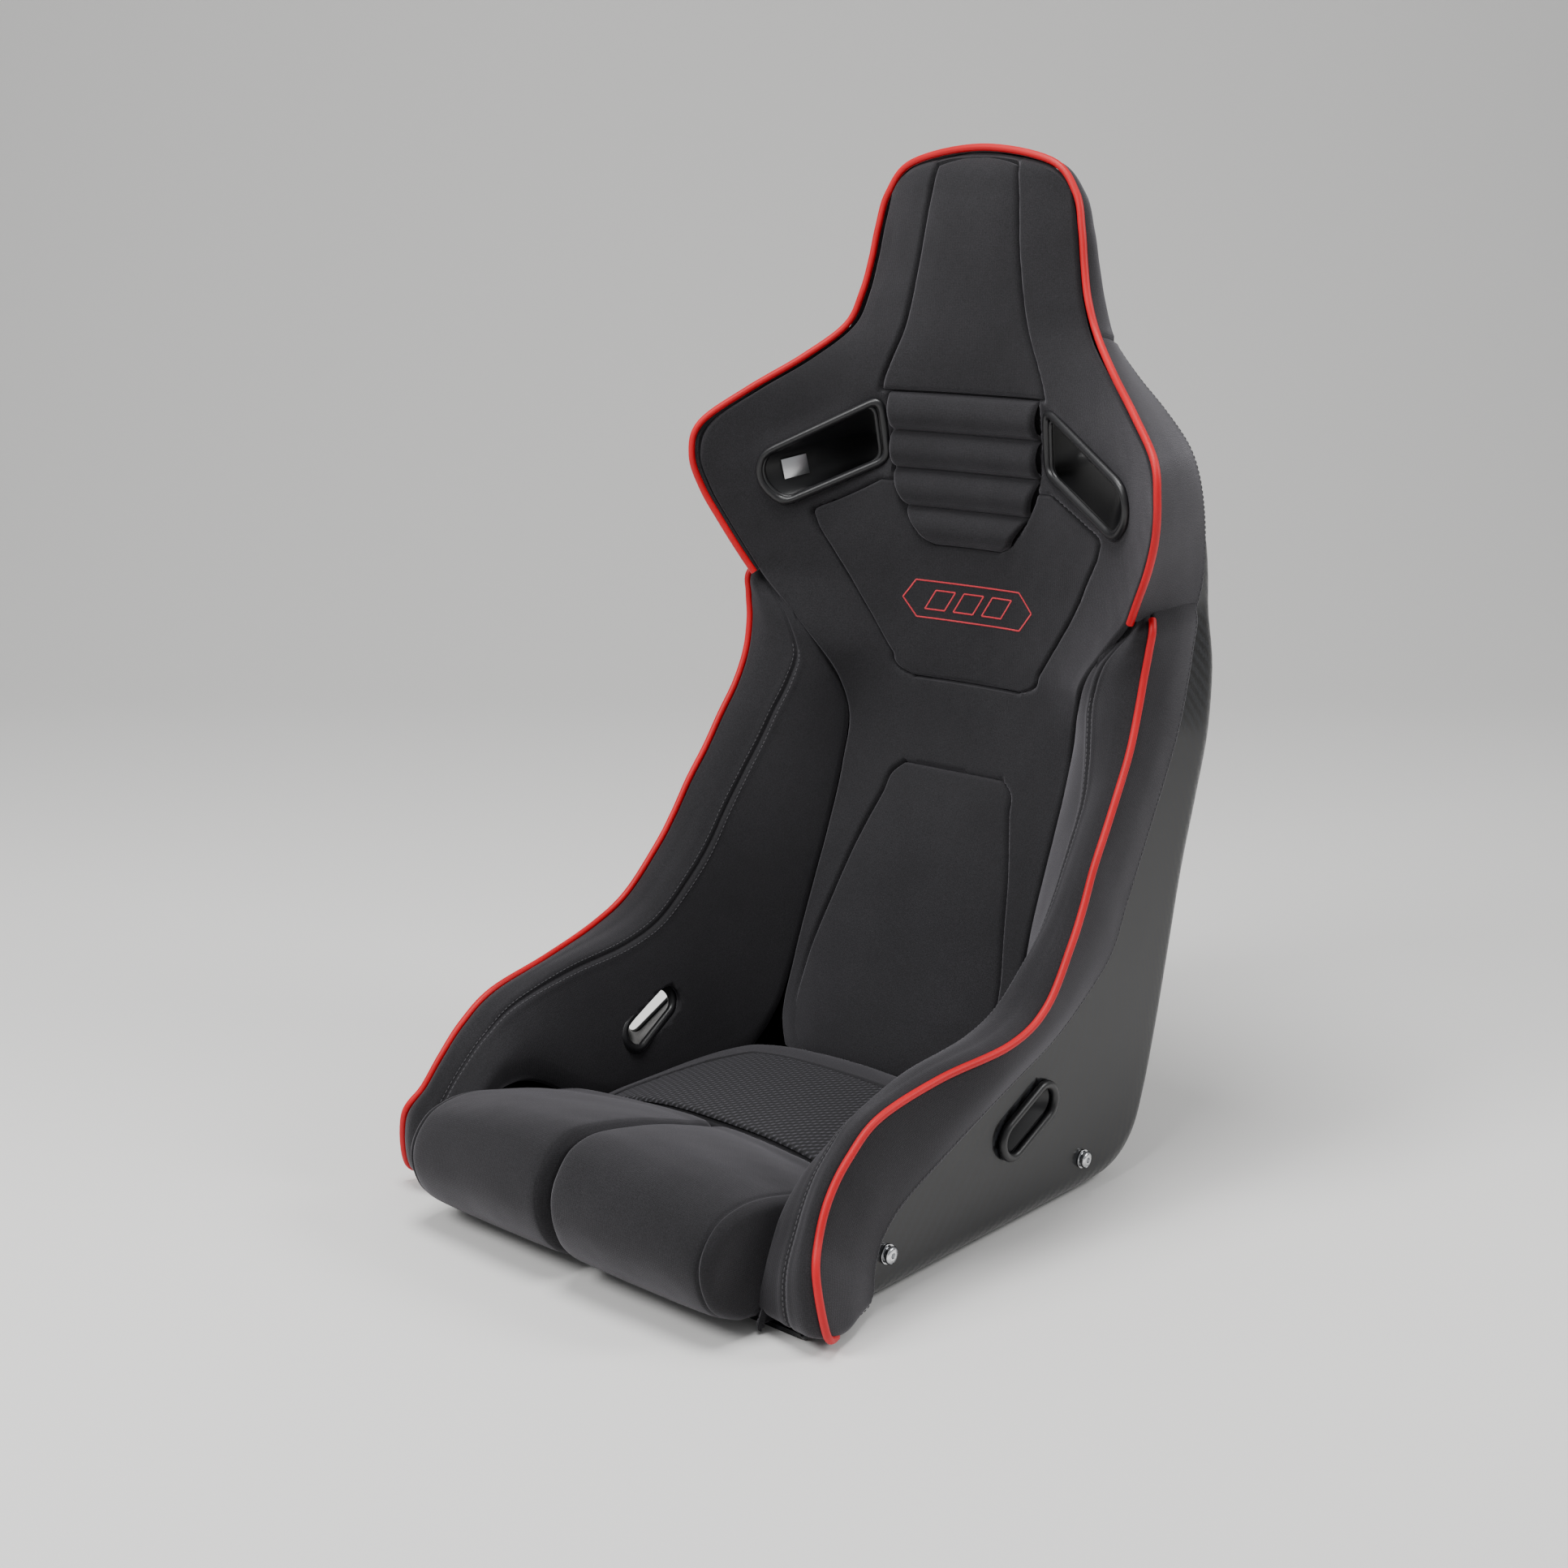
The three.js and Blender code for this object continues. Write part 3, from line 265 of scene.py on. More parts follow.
def laid_grid(name, points):
    """A grid primitive whose rows and columns are laid over a sheet's points."""
    rows, columns = points.shape[:2]
    bpy.ops.object.select_all(action="DESELECT")
    bpy.ops.mesh.primitive_grid_add(x_subdivisions=columns - 1, y_subdivisions=rows - 1)
    obj = named(bpy.context.object, name)
    obj.matrix_world = Matrix.Identity(4)
    mesh = obj.data
    mesh.vertices.foreach_set("co", to_frame(points).ravel())
    across = arc_lengths(points, 1)
    across = across - across[:, columns // 2][:, None]
    along = arc_lengths(points, 0)[:, columns // 2][:, None] + np.zeros(columns)
    flat = np.stack([across, along], axis=-1).reshape(-1, 2) * MM
    corners = np.empty(len(mesh.loops), dtype=np.int32)
    mesh.loops.foreach_get("vertex_index", corners)
    mesh.uv_layers[0].data.foreach_set("uv", flat[corners].ravel())
    mesh.update()
    return obj


def face_normals(points):
    across = np.gradient(points, axis=1)
    along = np.gradient(points, axis=0)
    return unit(np.cross(across, along))


def sewn(name, base, outward, rise=0.0, radius=5.0, depth=COVER_DEPTH, edges="lrbt", seed=1,
         sway=0.45):
    """A sewn cover: its face is raised over the base, rolls into its seams and gets a back."""
    if (face_normals(base) @ np.array(outward, float)).mean() < 0:
        base = base[:, ::-1]
        rise = rise[:, ::-1] if isinstance(rise, np.ndarray) else rise
        edges = edges.translate(str.maketrans("lr", "rl"))
    across = arc_lengths(base, 1)
    along = arc_lengths(base, 0)
    distances = {"l": across, "r": across[:, -1:] - across, "b": along, "t": along[-1:] - along}
    nearest = np.min([distances[side] for side in edges], axis=0)
    settled = np.clip(nearest / 18, 0, 1)
    lift = rise - rolled(nearest, radius)
    lift = lift + settled * unevenness(base, seed, 110, sway) + unevenness(base, seed + 50, 26, 0.1)
    normals = face_normals(base)
    points = base + normals * lift[..., None]
    obj = laid_grid(name, points)
    modified(obj, "SOLIDIFY", thickness=depth * MM, offset=-1, use_even_offset=False)
    smoothed(obj)
    return obj, points, face_normals(points)


def bead(name, path, radius, closed=False, sides=5):
    """A round bead along a path."""
    curve = bpy.data.curves.new(name, "CURVE")
    curve.dimensions = "3D"
    curve.bevel_depth = radius * MM
    curve.bevel_resolution = sides
    curve.use_fill_caps = not closed
    spline = curve.splines.new("POLY")
    spline.points.add(len(path) - 1)
    spline.points.foreach_set("co", np.column_stack([to_frame(path), np.ones(len(path))]).ravel())
    spline.use_cyclic_u = closed
    obj = bpy.data.objects.new(name, curve)
    bpy.context.collection.objects.link(obj)
    only(obj)
    bpy.ops.object.convert(target="MESH")
    named(obj, name)
    return smoothed(obj, 60)


def joined(name, *parts):
    only(*parts)
    bpy.ops.object.join()
    return named(bpy.context.object, name)


def mirror_copy(obj, name):
    """The same piece on the seat's other side, facing outwards again."""
    copy = obj.copy()
    copy.data = obj.data.copy()
    bpy.context.collection.objects.link(copy)
    named(copy, name)
    copy.scale = (-1, 1, 1)
    only(copy)
    bpy.ops.object.transform_apply(location=False, rotation=False, scale=True)
    if not is_outward(copy):
        copy.data.flip_normals()
    return copy


def is_outward(obj):
    """True if a closed mesh's faces point out: its signed volume is above zero."""
    mesh = obj.data
    mesh.calc_loop_triangles()
    places = np.empty(len(mesh.vertices) * 3)
    mesh.vertices.foreach_get("co", places)
    corners = np.empty(len(mesh.loop_triangles) * 3, dtype=np.int32)
    mesh.loop_triangles.foreach_get("vertices", corners)
    a, b, c = places.reshape(-1, 3)[corners.reshape(-1, 3)].transpose(1, 0, 2)
    return np.einsum("ij,ij->i", a, np.cross(b, c)).sum() > 0


def closed_up(obj):
    """Merges a wrapped grid's seam and poles, and turns its faces outwards."""
    only(obj)
    bpy.ops.object.mode_set(mode="EDIT")
    bpy.ops.mesh.select_all(action="SELECT")
    bpy.ops.mesh.remove_doubles(threshold=0.00002)
    bpy.ops.mesh.normals_make_consistent(inside=False)
    bpy.ops.object.mode_set(mode="OBJECT")
    return smoothed(obj)


def carved(obj, *cutters):
    """Cuts closed cutters out of a closed piece and removes them."""
    for cutter in cutters:
        modified(obj, "BOOLEAN", object=cutter, operation="DIFFERENCE", solver="EXACT")
    for cutter in cutters:
        bpy.data.objects.remove(cutter, do_unlink=True)
    return obj


def prism(loops):
    """A closed cutter through loops of points."""
    middle_first = np.repeat(loops[0].mean(axis=0)[None], len(loops[0]), axis=0)
    middle_last = np.repeat(loops[-1].mean(axis=0)[None], len(loops[0]), axis=0)
    rows = np.stack([middle_first, *loops, middle_last])
    wrapped = np.concatenate([rows, rows[:, :1]], axis=1)
    return closed_up(laid_grid("cutter", wrapped))


def flipped(points):
    return points * np.array((-1, 1, 1))


def finished(obj, name, body, material, slot, nodes=None, fill=None):
    """Gives a piece its name, material and body, and hides the CAD nodes that it stands for:
    the one of its own name, unless others are given. Its slot is not used."""
    named(obj, "seat_" + name)
    obj.data.materials.clear()
    obj.data.materials.append(material)
    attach(obj, body)
    nodes = (name,) if nodes is None else nodes
    if nodes:
        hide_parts(*nodes)
    return obj

# ---------------------------------------------------------------- materials


def colour(hexadecimal):
    """A colour given as sRGB, in the linear values that the shader takes."""
    channels = [int(hexadecimal[i:i + 2], 16) / 255 for i in (1, 3, 5)]
    linear = [c / 12.92 if c <= 0.04045 else ((c + 0.055) / 1.055) ** 2.4 for c in channels]
    return (*linear, 1.0)


def feed(material, socket, value):
    """Links a socket to an output, or sets its value."""
    if isinstance(value, bpy.types.NodeSocket):
        material.node_tree.links.new(value, socket)
    else:
        socket.default_value = value


def node(material, kind, inputs=None, out=0, stops=(), **settings):
    """Adds a shader node with its settings, inputs and colour stops; returns one of its outputs."""
    made = material.node_tree.nodes.new("ShaderNode" + kind)
    for key, value in settings.items():
        setattr(made, key, value)
    for key, value in (inputs or {}).items():
        feed(material, made.inputs[key], value)
    for index, (place, shade) in enumerate(stops):
        elements = made.color_ramp.elements
        element = elements[index] if index < len(elements) else elements.new(1.0)
        element.position = place
        element.color = colour(shade)
    return made.outputs[out]


def shaded(material, **sockets):
    """Gives the material's shader these values, or links these outputs to it."""
    shader = material.node_tree.nodes["Principled BSDF"]
    for key, value in sockets.items():
        feed(material, shader.inputs[key.replace("_", " ")], value)
    return material


def new_material(name, **sockets):
    """A material whose shader has these values."""
    material = bpy.data.materials.new(name)
    material.use_nodes = True
    return shaded(material, **sockets)


def jersey_cloth():
    """Foam-backed knitted jersey: matt black, with a soft pile that greys towards grazing light,
    fine knit rows, and slow lighter and darker clouds where the pile lies differently."""
    cloth = new_material("jersey_cloth", Sheen_Weight=0.42, Sheen_Roughness=0.45,
                         Sheen_Tint=colour("#b9b6bd"), Specular_IOR_Level=0.3)
    where = node(cloth, "TexCoord", out="Object")
    own = node(cloth, "TexCoord", out="UV")
    clouds = node(cloth, "TexNoise", {"Vector": where, "Scale": 9.0, "Detail": 4.0, "Roughness": 0.6})
    fibres = node(cloth, "TexNoise", {"Vector": where, "Scale": 900.0, "Detail": 2.0, "Roughness": 0.7})
    base = node(cloth, "ValToRGB", {"Fac": clouds}, stops=((0.25, "#1d1c1f"), (0.75, "#2b2a2d")))
    flecks = node(cloth, "ValToRGB", {"Fac": fibres}, stops=((0.3, "#8c8c8c"), (0.7, "#ffffff")))
    shade = node(cloth, "Mix", {0: 1.0, 6: base, 7: flecks}, 2, data_type="RGBA",
                 blend_type="MULTIPLY")
    matt = node(cloth, "MapRange", {"Value": clouds, "To Min": 0.82, "To Max": 0.94})
    # Knit rows are 1.6 mm apart here, twice the real spacing, so that they still show at this size.
    rows = node(cloth, "TexWave", {"Vector": own, "Scale": 196.0, "Distortion": 1.2, "Detail": 1.0},
                "Fac", bands_direction="Y")
    wales = node(cloth, "TexWave", {"Vector": own, "Scale": 160.0, "Distortion": 0.6}, "Fac",
                 bands_direction="X")
    knit = node(cloth, "Math", {0: rows, 1: wales}, operation="MULTIPLY")
    raised = node(cloth, "Math", {0: knit, 1: 0.6}, operation="MULTIPLY")
    height = node(cloth, "Math", {0: raised, 1: fibres}, operation="ADD")
    knitted = node(cloth, "Bump", {"Height": height, "Distance": 0.00035, "Strength": 0.55})
    return shaded(cloth, Base_Color=shade, Roughness=matt, Normal=knitted)


def woven_insert():
    """Coarse ribbed upholstery weave: dark grey cords that run across the cushion at a slant, each
    broken into short floats with a painted highlight, with painted shade in near-black between them."""
    weave = new_material("woven_insert", Sheen_Weight=0.2, Roughness=0.78,
                         Sheen_Tint=colour("#9a989e"), Specular_IOR_Level=0.35)
    own = node(weave, "Mapping", {"Vector": node(weave, "TexCoord", out="UV"),
                                  "Rotation": (0, 0, math.radians(38))})
    # Ribs are 5.5 mm apart and the floats on them 3.2 mm long.
    ribs = node(weave, "TexWave", {"Vector": own, "Scale": 57.0, "Distortion": 0.25, "Detail": 1.0,
                                   "Detail Scale": 2.0}, "Fac", bands_direction="X")
    floats = node(weave, "TexWave", {"Vector": own, "Scale": 98.0, "Distortion": 0.8, "Detail": 1.0},
                  "Fac", bands_direction="DIAGONAL")
    fibres = node(weave, "TexNoise", {"Vector": own, "Scale": 1400.0})
    float_highlight = node(weave, "MapRange", {"Value": floats, "To Min": 0.45, "To Max": 1.0})
    cords = node(weave, "Math", {0: ribs, 1: float_highlight}, operation="MULTIPLY")
    # Painted light: the colour follows the cords' height. The middle stop is the cords' own dark grey,
    # the floats' tops are painted lighter as painted highlight, and the ground between the cords is
    # painted near-black as painted shade.
    base = node(weave, "ValToRGB", {"Fac": cords},
                stops=((0.1, "#131315"), (0.55, "#313034"), (0.95, "#525056")))
    flecks = node(weave, "ValToRGB", {"Fac": fibres}, stops=((0.3, "#a0a0a0"), (0.7, "#ffffff")))
    shade = node(weave, "Mix", {0: 1.0, 6: base, 7: flecks}, 2, data_type="RGBA",
                 blend_type="MULTIPLY")
    fuzz = node(weave, "Math", {0: fibres, 1: 0.15}, operation="MULTIPLY")
    height = node(weave, "Math", {0: cords, 1: fuzz}, operation="ADD")
    ribbed = node(weave, "Bump", {"Height": height, "Distance": 0.0009, "Strength": 1.0})
    return shaded(weave, Base_Color=shade, Normal=ribbed)


def piping_cover():
    """Red coated cloth pulled over a cord: saturated, slightly glossy, with a fine cloth grain and
    a duller tone where it has been handled."""
    cover = new_material("piping_cover", Coat_Weight=0.08, Coat_Roughness=0.4,
                         Specular_IOR_Level=0.3)
    where = node(cover, "TexCoord", out="Object")
    grain = node(cover, "TexNoise", {"Vector": where, "Scale": 1300.0, "Detail": 2.0,
                                     "Roughness": 0.6})
    handling = node(cover, "TexNoise", {"Vector": where, "Scale": 16.0, "Detail": 3.0})
    red = node(cover, "ValToRGB", {"Fac": handling}, stops=((0.3, "#b30010"), (0.7, "#c80418")))
    gloss = node(cover, "MapRange", {"Value": handling, "To Min": 0.4, "To Max": 0.58})
    rough = node(cover, "Bump", {"Height": grain, "Distance": 0.0003, "Strength": 0.5})
    return shaded(cover, Base_Color=red, Roughness=gloss, Normal=rough)


def composite_twill():
    """Clear-coated 2/2 twill: black tows in diagonal steps, the ones that lie over painted lighter as
    painted sheen for the light they catch by their direction, under a clear gloss coat with the faintest
    waviness."""
    twill = new_material("composite_twill", Coat_Weight=0.45, Coat_Roughness=0.06,
                         Specular_IOR_Level=0.2)
    own = node(twill, "TexCoord", out="UV")
    # Tows are 4 mm wide here, twice the real width, so that the twill still shows at this size.
    tow = 0.004
    steps = []
    for axis in ("X", "Y"):
        place = node(twill, "SeparateXYZ", {"Vector": own}, axis)
        tows = node(twill, "Math", {0: place, 1: tow}, operation="DIVIDE")
        steps.append(node(twill, "Math", {0: tows}, operation="FLOOR"))
    step = node(twill, "Math", dict(enumerate(steps)), operation="ADD")
    phase = node(twill, "Math", {0: step, 1: 4.0}, operation="FLOORED_MODULO")
    over = node(twill, "Math", {0: phase, 1: 1.5}, operation="LESS_THAN")
    fibres = node(twill, "TexNoise", {"Vector": own, "Scale": 2500.0})
    # Painted sheen: the tows that lie over get a lighter colour, which stands in for the light they catch
    # by their direction. Both sets of tows are the same black.
    shade = node(twill, "Mix", {0: over, 6: colour("#070708"), 7: colour("#1b1c1f")}, 2,
                 data_type="RGBA")
    duller = node(twill, "Math", {0: over, 1: 0.16}, operation="MULTIPLY")
    fuzz = node(twill, "Math", {0: fibres, 1: 0.12}, operation="MULTIPLY")
    both = node(twill, "Math", {0: duller, 1: fuzz}, operation="ADD")
    gloss = node(twill, "Math", {0: both, 1: 0.3}, operation="ADD")
    waves = node(twill, "TexNoise", {"Vector": node(twill, "TexCoord", out="Object"), "Scale": 22.0,
                                     "Detail": 1.0})
    wavy = node(twill, "Bump", {"Height": waves, "Distance": 0.0006, "Strength": 0.35})
    return shaded(twill, Base_Color=shade, Roughness=gloss, Normal=wavy)


def grained(name, base, scale, detail, uneven, gloss, depth, strength, stretch=None, **sockets):
    """A hard surface: an even base colour under one fine grain, which also sets its gloss."""
    made = new_material(name, Base_Color=colour(base), **sockets)
    where = node(made, "TexCoord", out="Object")
    if stretch:
        where = node(made, "Mapping", {"Vector": where, "Scale": stretch})
    grain = node(made, "TexNoise", {"Vector": where, "Scale": scale, "Detail": detail,
                                    "Roughness": uneven})
    low, high = gloss
    polish = node(made, "MapRange", {"Value": grain, "To Min": low, "To Max": high})
    bump = node(made, "Bump", {"Height": grain, "Distance": depth, "Strength": strength})
    return shaded(made, Roughness=polish, Normal=bump)


def moulded_plastic():
    """Injection-moulded ABS: black satin with a fine spark-eroded grain, a little smoother where
    the webbing rubs."""
    plastic = new_material("moulded_plastic", Base_Color=colour("#141416"))
    where = node(plastic, "TexCoord", out="Object")
    grain = node(plastic, "TexNoise", {"Vector": where, "Scale": 1500.0, "Roughness": 0.6})
    rubbed = node(plastic, "TexNoise", {"Vector": where, "Scale": 24.0, "Detail": 3.0})
    satin = node(plastic, "MapRange", {"Value": rubbed, "To Min": 0.3, "To Max": 0.46})
    eroded = node(plastic, "Bump", {"Height": grain, "Distance": 0.00012, "Strength": 0.6})
    return shaded(plastic, Roughness=satin, Normal=eroded)


def hook_tape():
    """Nylon hook tape: dull black with tiny upright hooks in rows."""
    tape = new_material("hook_tape", Base_Color=colour("#151516"), Roughness=0.9)
    hooks = node(tape, "TexVoronoi", {"Vector": node(tape, "TexCoord", out="Object"),
                                      "Scale": 700.0}, "Distance")
    return shaded(tape, Normal=node(tape, "Bump", {"Height": hooks, "Distance": 0.0006,
                                                   "Strength": 1.0}))


def sewing_thread(name, dark, light):
    """Bonded polyester thread: a soft sheen, with the twist showing as slanted ridges, painted lighter on
    top and darker between them as painted highlight and shade.
    """
    thread = new_material(name, Roughness=0.55, Sheen_Weight=0.25)
    twist = node(thread, "TexWave", {"Vector": node(thread, "TexCoord", out="Object"),
                                     "Scale": 900.0}, "Fac", bands_direction="DIAGONAL")
    # Painted highlight and shade: the twist's ridges get the lighter tone and its grooves the darker one.
    # The thread itself is one colour.
    shade = node(thread, "ValToRGB", {"Fac": twist}, stops=((0.2, dark), (0.8, light)))
    ridged = node(thread, "Bump", {"Height": twist, "Distance": 0.0002, "Strength": 0.6})
    return shaded(thread, Base_Color=shade, Normal=ridged)


CLOTH = jersey_cloth()
WEAVE = woven_insert()
RED = piping_cover()
TWILL = composite_twill()
PLASTIC = moulded_plastic()
# Polished plated steel: mirror bright with fine hairline scuffs.
CHROME = grained("bright_fastener", "#dcdddf", scale=420.0, detail=6.0, uneven=0.7,
                 gloss=(0.06, 0.24), depth=0.00005, strength=0.4, Metallic=1.0)
# Pressed steel with an electro-dipped black coat: semi-gloss, slightly orange-peeled.
STEEL = grained("mount_steel", "#1a1b1d", scale=380.0, detail=2.0, uneven=0.5,
                gloss=(0.36, 0.5), depth=0.0001, strength=0.7)
# Brushed aluminium foil plate: pale silver with fine lines along its length.
PLATE = grained("nameplate_metal", "#cfd0d2", scale=160.0, detail=4.0, uneven=0.7,
                gloss=(0.22, 0.42), depth=0.00004, strength=0.5, stretch=(1, 1, 26), Metallic=1.0)
TAPE = hook_tape()
THREAD = sewing_thread("sewing_thread", "#29282b", "#4c4a4f")
RED_THREAD = sewing_thread("embroidery_thread", "#b80f24", "#f0293f")

# ---------------------------------------------------------------- side bolsters and side covers

ROWS_PER_STATION = 8
LOWEST = 5                 # the bolster's hidden wall ends this high over the floor


def bolster_lines():
    """Lines along a left-hand bolster: seam, shoulder, ridge, hem, and the way from ridge to hem."""
    position = np.linspace(0, len(BOLSTER) - 1, ROWS_PER_STATION * (len(BOLSTER) - 1) + 1)
    values = blend_rows(BOLSTER, position)
    seam, shoulder, ridge = values[:, 0:3], values[:, 3:6], values[:, 6:9]
    hem = np.column_stack([np.full(len(values), HEM_X), values[:, 9:11]])
    down = unit((hem - ridge) * (0, 1, 1))
    return seam, shoulder, ridge, hem, down


def wing_lines(first, last):
    position = np.linspace(first, last, int(ROWS_PER_STATION * (last - first)) + 1)
    over_the_top = [(-x, y, z, -hem_x, hem_y, hem_z) for x, y, z, hem_x, hem_y, hem_z in WING[-2::-1]]
    values = blend_rows(WING + over_the_top, position)
    return values[:, 0:3], values[:, 3:6]


def thread_bits(name, spots, ahead, normals, lengths, width):
    """Bits of thread on a cover, each a small flattened capsule with its ends in the cloth."""
    bpy.ops.object.select_all(action="DESELECT")
    bpy.ops.mesh.primitive_uv_sphere_add(segments=6, ring_count=5, radius=0.5 * MM)
    first = named(bpy.context.object, name)
    copies = []
    for place, along, normal, length in zip(spots, ahead, normals, lengths):
        x_axis = Vector(along).normalized()
        y_axis = Vector(normal).cross(x_axis).normalized()
        turn = Matrix((x_axis, y_axis, x_axis.cross(y_axis))).transposed().to_4x4()
        copy = first.copy()
        copy.data = first.data.copy()
        bpy.context.collection.objects.link(copy)
        copy.matrix_world = (Matrix.Translation(to_frame(place)) @ turn
                             @ Matrix.Diagonal((length, width, width * 0.8, 1)))
        copies.append(copy)
    bpy.data.objects.remove(first, do_unlink=True)
    obj = joined(name, *copies)
    bpy.ops.object.transform_apply(location=True, rotation=True, scale=True)
    bpy.ops.object.shade_smooth()
    return obj


def stitches(name, path, normals, length=3.6, gap=1.3, width=1.0):
    """A row of single stitches along a path."""
    distance = arc_lengths(path[:, None], 0)[:, 0]
    starts = np.arange(gap, distance[-1] - length, length + gap)

    def along_path(values, places):
        return np.stack([np.interp(places, distance, values[:, axis]) for axis in range(3)], axis=1)
    ahead = along_path(path, starts + length) - along_path(path, starts)
    middles = starts + length / 2
    return thread_bits(name, along_path(path, middles), ahead, along_path(normals, middles),
                       np.full(len(starts), length + 0.4), width)


def bolster():
    seam, shoulder, ridge, _, down = bolster_lines()
    wall = (seam + shoulder) / 2 + (-5, 0, 0)
    crown = shoulder + (ridge - shoulder) * 0.55 - down * 5
    reach = np.linalg.norm(shoulder - ridge, axis=-1, keepdims=True)
    lip = ridge + (shoulder - ridge) * (1.8 / reach)
    half = gathered(44)
    across = np.concatenate([half * 2, 2 + half[1:] * 2])
    # Below its seam the wall goes on behind the cushion, and further up into the back.
    turn = np.clip(np.linspace(0, len(BOLSTER) - 1, len(seam)) - 10, 0, 1)[:, None]
    hidden = seam + np.hstack([2 + 0 * turn, 12 * turn, -26 * (1 - turn)])
    hidden[:, 2] = np.maximum(hidden[:, 2], LOWEST)
    across = np.concatenate([[0, 0.25, 0.5, 0.75], 1 + across])
    base = strip([hidden, seam, wall, shoulder, crown, lip], across)
    stitched = len(half) + 3
    width = arc_lengths(base, 1)
    from_line = width - width[:, stitched:stitched + 1]
    # The stitched line fades out where it runs into the seam at the waist.
    fade = np.clip((np.linalg.norm(shoulder - seam, axis=-1) - 18) / 30, 0, 1)[:, None]
    plump = 2.2 * np.sin(np.clip(width / width[:, -1:], 0, 1) * np.pi) ** 0.7
    rise = plump - fade * crease(from_line, 2.2, 2.0) + fade * crease(np.abs(from_line) - 6, 0.9, 3.5)
    obj, points, normals = sewn("side_bolster_left", base, (-1, -0.6, 0.8), rise, radius=5,
                                edges="lrb", seed=3)
    mouth = lap_outline(-0.1, 0.8)
    outside = lap_outline(0.3, 0.8)
    carved(obj, prism([mouth + (-60, 0, 0), mouth, outside + (30, 0, 0)]))
    flip = np.linalg.norm(points[0, 0] - base[0, 0]) > 40
    columns = points[:, ::-1] if flip else points
    ups = normals[:, ::-1] if flip else normals
    rows = slice(6, -14 - ROWS_PER_STATION)
    lines = []
    for side in (-1, 1):
        column = stitched + side * 4
        lines.append((columns[rows, column], ups[rows, column]))
    return obj, lines


def lap_outline(distance, grow):
    """The obround mouth of the lap opening, at a share of its way from the wall to the shell."""
    tilt = WALL_TILT * max(0.0, 1 - max(distance, 0))
    middle = LAP_INNER + (LAP_OUTER - LAP_INNER) * distance
    along = unit(np.array((tilt * 0.5, math.cos(LAP_SLOPE), math.sin(LAP_SLOPE))))
    across = unit(np.array((tilt, -math.sin(LAP_SLOPE), math.cos(LAP_SLOPE))))
    straight = LAP_HALF_LENGTH - LAP_HALF_WIDTH
    turns = np.linspace(-np.pi / 2, np.pi / 2, 15)
    ends = [(1, turn) for turn in turns] + [(-1, turn + np.pi) for turn in turns]
    return np.array([middle + along * (end * straight + math.cos(turn) * (LAP_HALF_WIDTH + grow))
                     + across * math.sin(turn) * (LAP_HALF_WIDTH + grow) for end, turn in ends])


def side_cover(name, ridge, hem, bow, outward, edges, seed):
    """A sewn side cover between the piping and its hem on the shell."""
    reach = np.linalg.norm(hem - ridge, axis=-1, keepdims=True)
    start = ridge + (hem - ridge) * (2.6 / reach)
    middle = (start + hem) / 2 + np.array(bow)
    base = strip([start, middle, hem], gathered(30) * 2)
    width = arc_lengths(base, 1)
    share = np.clip(width / width[:, -1:], 0, 1)
    rise = 1.6 * np.sin(share * np.pi) ** 0.8
    return sewn(name, base, outward, rise, radius=2.6, depth=3.2, edges=edges, seed=seed, sway=0.5)


def bolster_side_cover():
    _, _, ridge, hem, _ = bolster_lines()
    return side_cover("bolster_gusset_left", ridge, hem, (3, 0, 0), (1, 0, 0), "lrbt", 11)


def shoulder_side_cover():
    ridge, hem = wing_lines(0, HEAD_JOINT + 0.03)
    return side_cover("shoulder_gusset_left", ridge, hem, (2, 0, 0), (1, 0, 0), "lrbt", 12)


def head_side_cover():
    ridge, hem = wing_lines(HEAD_JOINT, 2 * (len(WING) - 1) - HEAD_JOINT)
    middle = (ridge + hem) / 2
    bow = unit(middle - (0, 250, 840)) * (1, 0, 1) * 2
    return side_cover("head_gusset", ridge, hem, bow, (0, 0, 1), "lrbt", 13)


def hem_line(ridge, hem, lift):
    """The topstitching that holds a side cover's hem, 5 mm in from its edge."""
    reach = np.linalg.norm(hem - ridge, axis=-1, keepdims=True)
    line = hem + (ridge - hem) * (6 / reach) + lift
    return stitches("stitching", line[2:-2], np.tile(unit(np.array(lift, float)), (len(line) - 4, 1)))


# ---------------------------------------------------------------- the back and its pads

def back_front(x, z):
    """The back's front face before its pads are set in."""
    middle = look_up(BACK_MIDDLE, z)[..., 0]
    edge = look_up(BACK_EDGE, z)
    t = np.minimum(np.abs(x) / edge[..., 0], 1.0)
    return middle + (edge[..., 1] - middle) * t ** 2.4


def inside_pad(rows, x, z):
    """Distance inside a pad's outline; below zero outside it."""
    half = look_up(rows, z)[..., 0]
    slope = (look_up(rows, z + 2)[..., 0] - look_up(rows, z - 2)[..., 0]) / 4
    sideways = (half - np.abs(x)) / np.sqrt(1 + slope ** 2)
    return np.min([sideways, z - rows[0][0], rows[-1][0] - z], axis=0)


def recess(rows, x, z, depth=8.0, radius=4.5):
    """How far the back's face drops beside and under a pad."""
    distance = inside_pad(rows, x, z)
    return np.where(distance > 0, depth, rolled(-distance, radius) * depth / radius)


def rim_plane(x, z):
    """The front rims of the shoulder openings lie in this slanted plane."""
    return 217 - 0.458 * (np.abs(x) - 102) - 0.14 * (z - 728)


